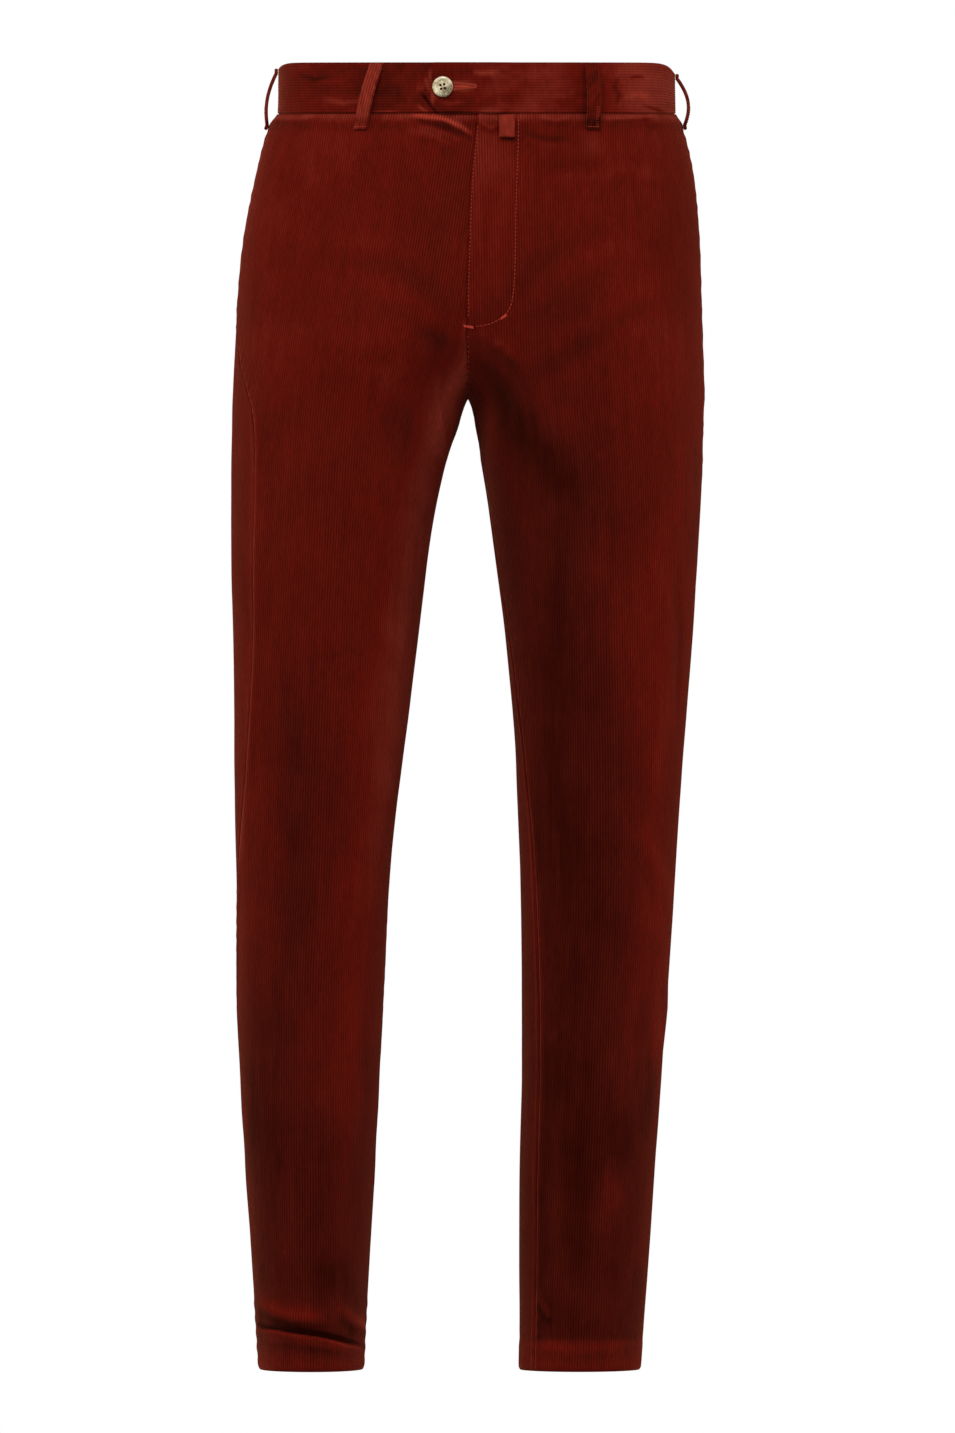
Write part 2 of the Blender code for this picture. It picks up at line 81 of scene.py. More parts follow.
COLUMNS = ("drop", "outer", "front", "back", "outseam", "inseam")
RIGHT_SIDE = (
    (0.0, 165.8, -103.5, 104.0, 0.0, 0.0),
    (43.0, 166.3, -104.0, 105.0, 0.0, 0.0),
    (54.0, 173.0, -106.0, 108.0, 0.0, 0.0),
    (98.0, 185.0, -112.0, 118.0, 0.0, 0.0),
    (150.0, 195.0, -116.0, 127.0, 0.0, 0.0),
    (205.0, 200.2, -117.0, 131.0, 4.0, 0.0),
    (245.0, 202.2, -114.5, 127.5, 16.0, 0.0),
    (276.0, 203.6, -111.0, 119.5, 30.0, 0.0),
    (283.0, 204.0, -110.2, 117.6, 33.0, 1.0),
    (300.0, 204.6, -108.0, 112.5, 37.0, 4.0),
    (340.0, 205.4, -103.0, 104.5, 40.0, 12.0),
    (400.0, 205.6, -96.5, 98.5, 40.0, 24.0),
    (480.0, 203.6, -87.0, 94.0, 39.0, 32.0),
    (580.0, 202.6, -75.0, 88.0, 32.0, 28.0),
    (680.0, 201.0, -65.0, 86.0, 14.0, 14.0),
    (780.0, 200.0, -59.0, 88.0, 3.0, 4.0),
    (840.0, 197.6, -55.0, 90.0, 0.0, 0.0),
    (930.0, 192.4, -50.0, 94.0, 0.0, 0.0),
    (1030.0, 186.0, -47.0, 98.0, 0.0, 0.0),
    (1092.0, 182.0, -47.0, 99.0, 0.0, 0.0),
)
LEFT_SIDE = (
    (0.0, 165.8, -103.5, 104.0, 0.0, 0.0),
    (43.0, 166.3, -104.0, 105.0, 0.0, 0.0),
    (54.0, 171.5, -106.0, 108.0, 0.0, 0.0),
    (98.0, 181.6, -112.0, 118.0, 0.0, 0.0),
    (150.0, 186.2, -116.0, 127.0, 0.0, 0.0),
    (205.0, 188.0, -117.0, 131.0, 0.0, 0.0),
    (245.0, 189.4, -114.5, 127.5, 0.0, 0.0),
    (276.0, 190.2, -111.0, 119.5, 0.0, 0.0),
    (283.0, 190.0, -110.2, 117.6, 0.0, -1.0),
    (300.0, 189.2, -108.0, 112.5, 0.0, -2.0),
    (340.0, 188.2, -103.0, 104.5, 0.0, -6.0),
    (400.0, 185.0, -96.5, 98.5, -4.0, -12.0),
    (480.0, 180.3, -87.0, 94.0, -12.0, -18.0),
    (580.0, 172.8, -75.0, 88.0, -24.0, -27.0),
    (680.0, 165.8, -65.0, 85.0, -34.0, -36.0),
    (780.0, 159.3, -59.0, 86.0, -40.0, -41.0),
    (840.0, 155.2, -55.0, 87.0, -42.0, -42.0),
    (930.0, 149.2, -50.0, 90.0, -42.0, -42.0),
    (1030.0, 141.8, -45.0, 94.0, -42.0, -42.0),
    (1092.0, 137.6, -44.0, 95.0, -42.0, -42.0),
)
SIDES = {-1: np.array(RIGHT_SIDE), 1: np.array(LEFT_SIDE)}
FRONT = COLUMNS.index("front")
CENTRE_LINE = np.array((
    (0.0, 0.0), (BAND_HEIGHT, 0.0), (98.0, -4.8), (150.0, -7.0), (205.0, -8.3), (CROTCH, -7.1),
    (LENGTH, -7.1)))
# (drop, what the centre line cuts off a half section: minus the cut width over the width left)
SPLIT = np.array((
    (0.0, -1.0), (150.0, -1.0), (180.0, -0.84), (205.0, -0.58), (230.0, -0.33), (250.0, -0.155),
    (262.0, -0.07), (270.0, -0.024), (CROTCH, 0.0)))
# Column of each side in the two tables of (drop, right, left), PARTING and GRAIN
SIDE_COLUMNS = {-1: 1, 1: 2}
# How far each leg's inner edge lies from the centre line
PARTING = np.array((
    (CROTCH, 0.0, 0.0), (283.0, 3.0, 2.8), (300.0, 8.5, 6.8), (340.0, 20.5, 12.9), (400.0, 32.1, 20.9),
    (480.0, 42.3, 31.3), (580.0, 54.8, 40.0), (680.0, 65.6, 44.1), (780.0, 71.7, 45.1), (840.0, 74.6, 45.1),
    (930.0, 79.2, 43.5), (1030.0, 84.9, 43.4), (LENGTH, 88.1, 42.5)))

# The part's largest folds, at an angle on the section
FOLD_COLUMNS = ("side", "drop", "angle", "height", "along", "across", "lean")
FOLDS = (
    (-1, 318.0, 128.0, -3.0, 60.0, 24.0, 52.0),
    (1, 322.0, 126.0, -3.2, 70.0, 24.0, -48.0),
    (-1, 305.0, -104.0, -2.6, 62.0, 24.0, 72.0),
    (1, 314.0, -100.0, -3.0, 66.0, 24.0, -70.0),
    (-1, 640.0, -92.0, -3.5, 55.0, 22.0, 80.0),
    (1, 655.0, -84.0, -3.5, 55.0, 22.0, -76.0),
    (-1, 1048.0, 96.0, 2.6, 50.0, 22.0, 84.0),
    (1, 1040.0, 84.0, 2.0, 44.0, 24.0, -80.0),
)

# Waistband lap, belt loops, prong keeper and button
TAB_REACH = 40.5
TAB_SLANT = 4.5
TAB_CORNER = 5.0
LAP_START = 80.0
LAP_FULL = 87.0
LOOP_WIDTH = 12.0
LOOP_FOOT = 56.0
LOOP_TACK = 4.0
LOOP_STITCHED = 19.0
LOOP_STATIONS = 34
LOOP_CLEAR = 0.15
LOOP_STITCH_LINES = (0.16, 0.30)
# A loop's tone is painted light and shade: lighter on lit loops, darker on shaded ones
LOOP_COLUMNS = ("node", "side", "angle", "lean", "bow", "head", "tone", "thick")
LOOPS = (
    ("belt_loop_front_right", -1, 60.2, 13.0, 4.4, 1.0, 0.75, 1.0),
    ("belt_loop_front_left", 1, 57.5, 0.0, 4.4, 1.0, -0.20, 1.0),
    ("belt_loop_side_right", -1, 0.5, 0.0, 3.8, 5.0, 0.90, 1.35),
    ("belt_loop_side_left", 1, 0.5, 0.0, 6.0, 9.5, 0.70, 1.35),
    ("belt_loop_back_right", -1, -57.0, 0.0, 4.4, 1.0, 0.20, 1.0),
    ("belt_loop_back_left", 1, -57.0, 0.0, 4.4, 1.0, 0.20, 1.0),
    ("belt_loop_back_centre", 1, -90.0, 0.0, 4.4, 1.0, 0.20, 1.0),
)
KEEPER_NAME = "prong_keeper_cloth"
KEEPER_ANGLE = 83.2
KEEPER_WIDTH = 12.5
KEEPER_CLOTH = 1.2
KEEPER_TOP = BAND_HEIGHT + 0.8
KEEPER_HANG = 46.0
KEEPER_FOOT = 62.5
# The keeper's tone, lightened as a painted highlight
KEEPER_NAP_AND_HIGHLIGHT = 1.05
KEEPER_FOLD = 1.0
BUTTON_X = -28.0
BUTTON_DROP = 20.6
BUTTON_RADIUS = 8.6
BUTTON_THICK = 3.0
BUTTON_DISH = 1.1
BUTTON_RIM = 1.7
HOLE_RADIUS = 1.15
HOLE_SPREAD = 2.2
HOLE_TURN = 10.0

# ---------------------------------------------------------------- cloth

WALE = 2.25
WALE_STEPS = 4
WALE_HEIGHT = 0.42
WALE_ROUND = 0.7
# A rib fades in over these lengths from a seam and from the hem's edge, and is worn unevenly
RIB_AT_SEAM = (0.3, 2.5)
RIB_AT_HEM = (0.5, 4.0)
RIB_WORN = 0.14
BAND_WALE = 2.15
SEAM_DIP = 0.12
SEAM_DIP_WIDTH = 0.8
SEAM_ROLL = 0.7
SEAM_ROLL_PLACE = 3.4
SEAM_ROLL_WIDTH = 2.6
SEAM_CALM = 9.0
SEAM_PUCKER = 0.25
SEAM_PUCKER_PITCH = 11.0
# Painted light and shade on the pile: lighter where it leans up towards the light above, lighter where it
# stands proud and darker in troughs (partly crushed nap, partly painted shade), painted light and shade
# along the band's creases, and a painted highlight along a seam
SLOPE_PAINTED_LIGHT = 1.3
HEIGHT_NAP_AND_SHADE_TONE = 0.10
BAND_CREASE_PAINTED_LIGHT = 1.2
SEAM_PAINTED_HIGHLIGHT = 0.55
SEAM_HIGHLIGHT_WIDTH = 3.4
# A side seam's painted highlight grows over the first two drops and fades over the last two, from and to
# this share
SIDE_SEAM_HIGHLIGHT_SPAN = ((290.0, 360.0), (640.0, 760.0))
SIDE_SEAM_HIGHLIGHT_ELSEWHERE = 0.4
# Painted highlight along the inseam
INSEAM_PAINTED_HIGHLIGHT = 0.22
# Painted shade just below the back waistband
BACK_WAIST_PAINTED_SHADE = 0.42
BACK_WAIST_SHADE_WIDTH = 3.4
TONE_LIMITS = (-0.60, 1.10)
HEM_TURN = 27.0
HEM_DOUBLE = 1.3
HEM_EDGE_WIDTH = 0.9
HEM_EDGE_ROUND = 1.1
HEM_EDGE_THIN = 0.9
WALL_LESS = 0.3
WAIST_TUCK = 0.1
TAB_TUCK = 4.0
TAB_CLEAR = 0.2
TUCK_CLOTH = 1.5
# The right front carries on behind the fly by this length and angle, down to these drops
UNDERLAP = 13.0
UNDERLAP_END = (206.0, 224.0)
UNDERLAP_SINK = 0.9
UNDERLAP_TURN = 9.6
# How far the band's top edge sinks at each side, and over how many degrees
SIDE_DROPS = {-1: (4.2, 13.0), 1: (8.5, 15.0)}
FLY_LIFT = 1.1
FLY_LIFT_WIDTH = 20.0
FLY_END = (208.0, 224.0)
FLY_EDGE_DIP = 0.5
MEET_WIDTH = 4.0

# X of a line that one wale follows down each side of the garment: (drop, right, left)
GRAIN = np.array((
    (0.0, -70.0, 83.0), (43.0, -75.0, 84.0), (CROTCH, -112.0, 90.0), (340.0, -118.0, 95.0),
    (480.0, -126.0, 99.0), (680.0, -134.0, 101.0), (780.0, -139.0, 98.0), (LENGTH, -138.6, 86.5)))

# Drops of a panel's rows: (from, to, step)
ROW_STRETCHES = ((43.6, 74.0, 1.6), (74.0, 130.0, 5.0), (130.0, 330.0, 7.5), (330.0, 1030.0, 12.0),
                 (1030.0, 1048.0, 3.0), (1048.0, 1078.0, 1.7), (1078.0, 1089.5, 3.0))

# Creases of each (side, face): a soft ridge (height above 0) or trough along a line of (x, drop) places,
# with its half width across
CREASE_COLUMNS = ("height", "width", "path")
CREASES = {
    (-1, 1): (
        # pull beside the fly, under the waistband
        (2.3, 2.2, ((-56, 45), (-46, 46), (-30, 48.5), (-14, 54.5), (-3, 63))),
        (-0.9, 2.6, ((-52, 50.5), (-36, 53), (-22, 58), (-10, 65))),
        (0.6, 4.0, ((-58, 58), (-34, 64), (-14, 76))),
        # soft drags across the right hip, towards the crotch
        (0.6, 8.0, ((-120, 150), (-70, 158), (-20, 186))),
        (-0.5, 8.0, ((-120, 165), (-66, 176), (-24, 204))),
        (0.6, 6.0, ((-96, 186), (-50, 204), (-22, 232))),
        (-0.5, 6.0, ((-80, 212), (-46, 218), (-18, 232))),
        (0.7, 5.0, ((-97, 232), (-84, 240), (-70, 240))),
        (-0.7, 5.0, ((-94, 242), (-82, 249), (-66, 248))),
        # inside of the right thigh
        (-1.5, 2.6, ((-30, 258), (-28, 290), (-24, 316))),
        (1.3, 2.4, ((-35, 262), (-33, 290), (-29, 314))),
        (0.8, 5.5, ((-62, 348), (-44, 362), (-34, 372))),
        (-0.7, 5.0, ((-64, 360), (-50, 370), (-38, 384))),
        (0.8, 5.0, ((-40, 312), (-28, 330), (-20, 352))),
        (0.8, 7.0, ((-112, 348), (-100, 366), (-94, 392))),
        # small creases down the inner edge of the right leg
        (0.9, 6.0, ((-82, 470), (-70, 482), (-60, 500))),
        (-0.8, 6.0, ((-86, 486), (-72, 498), (-62, 516))),
        (0.9, 6.5, ((-78, 548), (-66, 558), (-60, 572))),
        (0.8, 7.0, ((-88, 590), (-74, 604), (-70, 622))),
        # long soft folds of the right leg
        (1.4, 9.0, ((-178, 322), (-183, 400), (-186, 520), (-192, 600), (-196, 690))),
        (-1.2, 12.0, ((-160, 480), (-156, 600), (-152, 720), (-150, 800))),
        (1.1, 12.0, ((-110, 740), (-104, 860), (-112, 960))),
        (-1.0, 14.0, ((-128, 880), (-132, 960), (-136, 1030))),
        # break above the right hem
        (2.4, 6.0, ((-183, 1034), (-168, 1043), (-150, 1048), (-126, 1050))),
        (-2.2, 1.9, ((-186, 1055.5), (-166, 1057), (-134, 1061.5), (-108, 1068.5), (-92, 1074))),
        (0.8, 4.0, ((-184, 1064), (-150, 1067), (-104, 1078))),
        (2.0, 6.0, ((-118, 1040), (-104, 1052), (-94, 1060))),
        (-0.6, 7.0, ((-160, 1010), (-146, 1030), (-124, 1040))),
        # fly and J-stitch
        (0.6, 1.8, ((-168, 47), (-150, 49), (-128, 46))),
        # crotch, both sides
        (-1.0, 5.0, ((-52, 224), (-34, 234), (-18, 248))),
        (0.9, 4.0, ((-60, 214), (-44, 218), (-28, 223), (-12, 223))),
    ),
    (1, 1): (
        # fly and J-stitch
        (-0.7, 2.2, ((35.0, 43), (34.7, 65), (32.6, 126), (31.9, 172), (29.1, 201), (19.5, 214),
               (0.1, 220.4))),
        (0.5, 5.0, ((29.0, 47), (28.2, 66), (26.4, 126), (25.6, 170), (23.0, 196))),
        (-0.7, 3.0, ((37, 60), (58, 66), (80, 66))),
        (0.6, 2.0, ((50, 47), (66, 50), (80, 47))),
        (0.9, 1.6, ((104, 49), (128, 47.5), (152, 45))),
        (0.7, 2.2, ((2, 52), (12, 56), (20, 53))),
        # drags from the crotch up to the left hip
        (-0.9, 8.0, ((30, 200), (56, 168), (96, 148), (126, 140))),
        (0.6, 7.0, ((34, 216), (66, 184), (112, 160), (140, 154))),
        (0.8, 7.0, ((40, 256), (80, 228), (110, 210), (150, 184))),
        (-0.6, 7.0, ((44, 268), (92, 238), (130, 214), (158, 198))),
        (0.5, 7.0, ((40, 292), (84, 264), (116, 242))),
        (0.8, 6.0, ((94, 96), (130, 92), (160, 102))),
        (-0.9, 6.0, ((44, 92), (84, 88), (120, 90))),
        # crotch, both sides
        (1.0, 3.4, ((-2, 224), (10, 228), (24, 237), (38, 250))),
        (-1.1, 3.8, ((-2, 233), (12, 240), (26, 252), (36, 266))),
        (-1.0, 8.0, ((2, 250), (18, 270), (28, 300))),
        # long soft folds of the left leg
        (1.3, 9.0, ((150, 400), (158, 470), (156, 560), (146, 640))),
        (-1.3, 7.0, ((166, 420), (170, 480), (166, 560))),
        (-1.4, 14.0, ((74, 330), (70, 460), (66, 600), (70, 720))),
        (1.4, 7.0, ((134, 634), (148, 664), (162, 704))),
        (-1.2, 7.0, ((128, 650), (140, 680), (152, 716))),
        (1.5, 9.0, ((156, 745), (158, 790), (152, 842))),
        (-1.2, 3.6, ((152, 852), (146, 842), (136, 830))),
        (0.9, 12.0, ((104, 920), (114, 944), (122, 972))),
        (-1.0, 12.0, ((80, 880), (82, 980), (84, 1040))),
        (1.1, 3.0, ((44, 818), (48, 822), (54, 826))),
        (1.1, 3.0, ((43, 928), (49, 931), (56, 936))),
        (0.8, 3.0, ((44, 976), (50, 980), (55, 986))),
        (1.2, 3.4, ((44, 1020), (52, 1032), (62, 1050))),
        (0.6, 5.0, ((44, 1072), (80, 1076), (124, 1074))),
    ),
    (-1, -1): (
        # seat, under the waistband and below the seat
        (-0.7, 9.0, ((-16, 238), (-64, 262), (-116, 260), (-166, 232))),
        (0.9, 8.0, ((-18, 258), (-70, 284), (-124, 280), (-172, 252))),
        (-0.6, 7.0, ((-40, 300), (-92, 306), (-146, 282), (-178, 262))),
        (0.6, 9.0, ((-34, 326), (-84, 332), (-132, 316))),
        (0.9, 8.0, ((-162, 116), (-112, 160), (-56, 196))),
        (-0.6, 8.0, ((-160, 146), (-112, 184), (-56, 220))),
        # back of each knee, and the break at the back of the hem
        (-0.6, 8.0, ((-76, 584), (-122, 612), (-186, 622))),
        (0.7, 8.0, ((-76, 606), (-122, 634), (-188, 646))),
        (-0.7, 7.0, ((-78, 652), (-124, 656), (-184, 632))),
        (0.6, 8.0, ((-84, 676), (-128, 682), (-180, 664))),
        (1.1, 12.0, ((-150, 720), (-144, 840), (-150, 940))),
        (-0.8, 13.0, ((-110, 740), (-116, 860), (-112, 980))),
        (1.0, 8.0, ((-182, 1010), (-140, 1020), (-94, 1004))),
        (-0.7, 6.0, ((-180, 1030), (-138, 1040), (-94, 1026))),
    ),
    (1, -1): (
        # seat, under the waistband and below the seat
        (-0.8, 9.0, ((10, 232), (60, 256), (110, 260), (158, 238))),
        (0.9, 8.0, ((12, 252), (62, 280), (116, 284), (164, 262))),
        (-0.6, 7.0, ((30, 300), (78, 306), (132, 296), (168, 272))),
        (0.6, 9.0, ((30, 322), (70, 334), (116, 326))),
        (0.9, 8.0, ((152, 108), (104, 150), (50, 188))),
        (-0.6, 8.0, ((152, 132), (104, 176), (50, 214))),
        # back of each knee, and the break at the back of the hem
        (-0.6, 8.0, ((46, 618), (96, 610), (158, 584))),
        (0.7, 8.0, ((46, 642), (98, 634), (158, 608))),
        (-0.7, 7.0, ((48, 636), (94, 662), (150, 668))),
        (0.6, 8.0, ((50, 662), (92, 690), (140, 696))),
        (1.1, 12.0, ((110, 730), (104, 850), (108, 950))),
        (-0.8, 13.0, ((74, 740), (78, 860), (72, 980))),
        (1.0, 8.0, ((46, 1004), (92, 1020), (138, 1014))),
        (-0.7, 6.0, ((46, 1026), (90, 1041), (138, 1034))),
    ),
}

# Where the pile is darker or lighter on each (side, face), as soft patches: partly nap, and partly painted
# light and shade,
# such as the highlight along the pull beside the fly, the shadow under the prong keeper and shade in the
# crotch:
# (x, drop, half size across, half size down, lean in degrees, amount)
NAP_AND_PAINTED_LIGHT_PATCHES = {
    (-1, 1): (
        (-28, 290, 22, 60, 12, 0.80), (-60, 440, 26, 120, 9, 0.42), (-79, 615, 26, 110, 6, 0.38),
        # The patches at drops 47 and 52.6 beside the fly are painted highlight along the pull
        (-86, 890, 14, 160, 3, 0.14), (-32, 240, 20, 15, 24, -0.26), (-40, 47.0, 14, 2.0, 8, 1.25),
        (-18, 52.6, 10, 2.0, 26, 1.15), (-182, 76, 16, 46, 0, 0.22), (-72, 270, 28, 22, 0, 0.22),
        (-10, 92, 22, 46, 0, -0.10), (-186, 380, 26, 120, 0, -0.14), (-150, 660, 26, 190, 0, -0.16),
        (-176, 900, 30, 130, 0, -0.24), (-178, 240, 14, 60, -6, 0.10), (-104, 800, 18, 90, 0, 0.10),
        (-128, 960, 26, 90, 0, -0.04), (-124, 1056, 44, 36, 0, -0.40), (-188, 872, 14, 50, 0, -0.28),
        (-180, 1058, 10, 18, 0, -0.30), (-196, 645, 10, 40, 0, 0.26), (-98, 1058, 14, 12, 0, 0.35),
        (-118, 1012, 24, 16, 0, -0.26),
    ),
    (1, 1): (
        (10, 286, 12, 34, -8, 0.30), (30, 262, 34, 40, -12, -0.10), (40, 400, 54, 130, -6, -0.30),
        (70, 560, 46, 180, -2, -0.26), (104, 660, 30, 160, 0, -0.32), (66, 780, 34, 170, 2, -0.16),
        (110, 330, 60, 90, 0, -0.18), (184, 350, 14, 110, 0, -0.14), (44, 655, 14, 44, 0, -0.28),
        (44, 965, 14, 110, 0, -0.24), (146, 862, 12, 24, 0, -0.28), (16, 72, 14, 26, 0, 0.16),
        (96, 70, 16, 14, 0, 0.20), (100, 880, 48, 90, 0, -0.26), (130, 930, 26, 70, 0, -0.12),
        (84, 1044, 56, 44, 0, -0.30), (80, 226, 60, 40, 40, -0.10), (58, 64, 26, 8, 0, -0.24),
        # The patch at x 27 and drop 64.4 is the painted shadow under the prong keeper
        (27, 64.4, 6.5, 1.6, 0, -0.90), (37.5, 46, 3, 2.4, 0, 0.45), (16, 234, 20, 4.5, -28, 0.40),
        (14, 120, 18, 80, 0, 0.07), (150, 620, 20, 130, 0, 0.14), (152, 800, 12, 40, 0, 0.34),
        (112, 948, 16, 30, -16, 0.20), (72, 1070, 40, 8, 4, 0.24),
    ),
    (-1, -1): (
        (-60, 330, 50, 90, 14, -0.18), (-130, 760, 34, 200, 0, -0.10), (-126, 627, 34, 17, 0, 0.30),
        (-74, 297, 34, 16, 0, 0.24), (-129, 1029, 28, 12, 0, 0.18),
    ),
    (1, -1): (
        (40, 645, 16, 60, 0, -0.22), (40, 970, 16, 120, 0, -0.18), (44, 560, 16, 160, -4, -0.36),
        (46, 880, 12, 220, 0, -0.24), (48, 340, 50, 90, -14, -0.18), (92, 780, 34, 200, 0, -0.10),
        (109, 650, 34, 16, 0, 0.34), (91, 314, 38, 20, 0, 0.26), (109, 1026, 28, 12, 0, 0.18),
    ),
}

# How the pile's tone changes down the garment, partly nap and partly painted shade where the light falls off
# towards the hems: (drop, tone)
NAP_AND_PAINTED_FALLOFF_DOWN = np.array((
    (0.0, 0.05), (46.0, 0.14), (62.0, 0.14), (100.0, 0.09), (160.0, 0.05), (300.0, -0.04), (500.0, -0.10),
    (700.0, -0.14), (900.0, -0.28), (1020.0, -0.38), (1060.0, -0.30), (LENGTH, 0.02)))

# Lighter and darker places on the waistband's front, partly nap and partly painted light and shade, such as
# the lit right end, light along the tab's end and the shadow under the tab: (x, drop, half size across, half
# size down, amount)
BAND_NAP_AND_PAINTED_LIGHT = (
    (142, 22, 26, 34, 0.70),
    (50, 24, 36, 30, 0.30),
    (98, 24, 10, 30, -0.25),
    (-70, 24, 44, 30, -0.30),
    (-140, 24, 24, 30, -0.06),
    (-38.5, 12, 2.4, 6, 0.95),
    (-36.8, 29, 1.8, 7, 0.90),
    (-47, 21, 3.5, 4, 0.45),
    (-14, 20.2, 8, 3.2, 1.9),
    (-7, 20.2, 5, 1.8, 0.9),
    (-34, 30, 5, 4, 0.35),
    (-20, 41.8, 17, 1.2, -0.60),
    (-14, 34, 18, 6, -0.16),
    (14, 8, 8, 5, 0.28),
    (30, 27, 9, 7, -0.30),
    (19, 32, 3, 4, 0.25),
    (11, 41, 9, 3.0, 0.60),
    (62, 10, 14, 6, 0.22),
    (74, 33, 10, 5, -0.22),
)

BAND_CREASE_COLUMNS = ("height", "width", "path")
BAND_CREASES = (
    (-0.7, 1.3, ((-47, 24), (-41, 32), (-34.5, 41))),
    (0.6, 1.6, ((-43, 12), (-40, 20), (-38, 27))),
    (-0.5, 0.9, ((-36.6, 9), (-36.3, 16))),
    (0.6, 1.5, ((-50, 35), (-45, 39), (-40, 42))),
    (0.4, 2.0, ((-32, 33), (-20, 34.5), (-6, 33))),
    (0.5, 2.2, ((-4, 8), (6, 10), (20, 8))),
    (-0.5, 1.6, ((118, 12), (115, 20), (118.5, 28), (116, 36))),
    (-0.5, 1.3, ((127, 13), (134, 12), (141, 12.6))),
    (-0.5, 1.4, ((138, 36), (148, 38.5), (157, 42))),
    (0.4, 2.6, ((122, 30), (134, 27), (146, 29))),
    (0.5, 0.9, ((-90, 41.6), (-76, 41.0), (-63, 41.3))),
    (0.4, 2.6, ((-130, 30), (-110, 34), (-92, 32))),
    (-0.4, 2.2, ((-150, 10), (-134, 14), (-120, 12))),
)


def rows_of(columns, table):
    """A table's rows, each with its columns' names."""
    return [dict(zip(columns, row)) for row in table]


def run_along(points):
    """Length along a line of points from its start to each of them."""
    steps = np.linalg.norm(np.diff(points, axis=0), axis=1)
    return np.concatenate(([0.0], np.cumsum(steps)))


def turns_round(count):
    """Even turns round a circle, in radians."""
    return np.linspace(0, 2 * pi, count + 1)[:-1]


def smooth_curve(knots, values, at):
    """Monotone cubic through a table's column, so no bulge appears between its rows."""
    gaps = np.diff(knots)
    rises = np.diff(values) / gaps
    same_way = rises[:-1] * rises[1:] > 0
    weight_a = 2 * gaps[1:] + gaps[:-1]
    weight_b = gaps[1:] + 2 * gaps[:-1]
    safe_a = np.where(same_way, rises[:-1], 1.0)
    safe_b = np.where(same_way, rises[1:], 1.0)
    inner = np.where(same_way, (weight_a + weight_b) / (weight_a / safe_a + weight_b / safe_b), 0.0)
    slopes = np.concatenate(([rises[0]], inner, [rises[-1]]))
    at = np.clip(at, knots[0], knots[-1])
    cell = np.clip(np.searchsorted(knots, at, side="right") - 1, 0, len(gaps) - 1)
    t = (at - knots[cell]) / gaps[cell]
    rest = 1.0 - t
    return (values[cell] * rest * rest * (1 + 2 * t) + values[cell + 1] * t * t * (3 - 2 * t)
            + gaps[cell] * t * rest * (slopes[cell] * rest - slopes[cell + 1] * t))


def column_at(table, column, drop):
    return smooth_curve(table[:, 0], table[:, column], drop)


def measure(side, name, drop):
    return column_at(SIDES[side], COLUMNS.index(name), drop)


def split_at(drop):
    """0 where the section is one round body, 1 where it is two whole legs."""
    share = column_at(SPLIT, 1, drop)
    return (1 + share) / (1 - share)


def parting_at(side, drop):
    return column_at(PARTING, SIDE_COLUMNS[side], drop)


def centre_at(drop):
    return column_at(CENTRE_LINE, 1, drop)


def grain_at(side, drop):
    return column_at(GRAIN, SIDE_COLUMNS[side], drop)


def signed_power(value, power):
    return np.sign(value) * np.abs(value) ** power


def roundness_at(split):
    return ROUNDNESS_HIP + (ROUNDNESS_LEG - ROUNDNESS_HIP) * split


def section_shape(side, drop):
    """Outer reach, half breadth and roundness of a section."""
    outer = measure(side, "outer", drop)
    inner = side * centre_at(drop) + parting_at(side, drop) + SEAM / 2
    split = split_at(drop)
    return outer, (outer - inner) / (1 + split), roundness_at(split)


def section_point(side, drop, angle):
    """A point of the bare section."""
    outer, half_breadth, roundness = section_shape(side, drop)
    front = measure(side, "front", drop)
    back = measure(side, "back", drop)
    turn = np.radians(angle)
    x = outer - half_breadth + half_breadth * signed_power(np.cos(turn), 2 / roundness)
    y = (front + back) / 2 - (back - front) / 2 * signed_power(np.sin(turn), 2 / roundness)
    tilt = WAIST_TILT * np.clip(1 - drop / CROTCH, 0, 1)
    z = BAND_HEIGHT / 2 - drop + tilt * (y - SIDES[side][0, FRONT])
    return np.stack((side * x, y, z), axis=-1)


def outward(side, drop, angle):
    """Unit normals of the bare section, from small steps round and along it."""
    turn, step = 1.0, 0.75
    around = section_point(side, drop, angle + turn) - section_point(side, drop, angle - turn)
    down = section_point(side, drop + step, angle) - section_point(side, drop - step, angle)
    normal = np.cross(around, down) * side
    return normal / np.linalg.norm(normal, axis=-1, keepdims=True)


def fold_height(side, drop, angle):
    """Height of the part's folds above the bare section."""
    height = np.zeros_like(angle)
    girth = np.pi * (measure(side, "back", drop) - measure(side, "front", drop)) / 360
    for fold in rows_of(FOLD_COLUMNS, FOLDS):
        if fold["side"] != side:
            continue
        down = drop - fold["drop"]
        across = (angle - fold["angle"]) * girth
        lean = radians(fold["lean"])
        long_way = down * cos(lean) + across * sin(lean)
        short_way = across * cos(lean) - down * sin(lean)
        height = height + fold["height"] * np.exp(-(long_way / fold["along"]) ** 2
                                                  - (short_way / fold["across"]) ** 2)
    return height


def centre_angle(drop):
    """Angle at which the half section meets the centre line, or 180 on a whole leg."""
    split = split_at(drop)
    return 180 - np.degrees(np.arccos(np.clip(split, 0, 1) ** (roundness_at(split) / 2)))


def angle_at(side, face, drop, x):
    """Angle on the front or back of a section at a given X."""
    outer, half_breadth, roundness = section_shape(side, drop)
    share = np.clip((side * x - outer + half_breadth) / half_breadth, -0.999, 0.999)
    return face * np.degrees(np.arccos(signed_power(share, roundness / 2)))


NOISE_CELLS = 64
NOISE_START = 700.0


def soft_step(value, start, end):
    t = np.clip((value - start) / (end - start), 0, 1)
    return t * t * (3 - 2 * t)


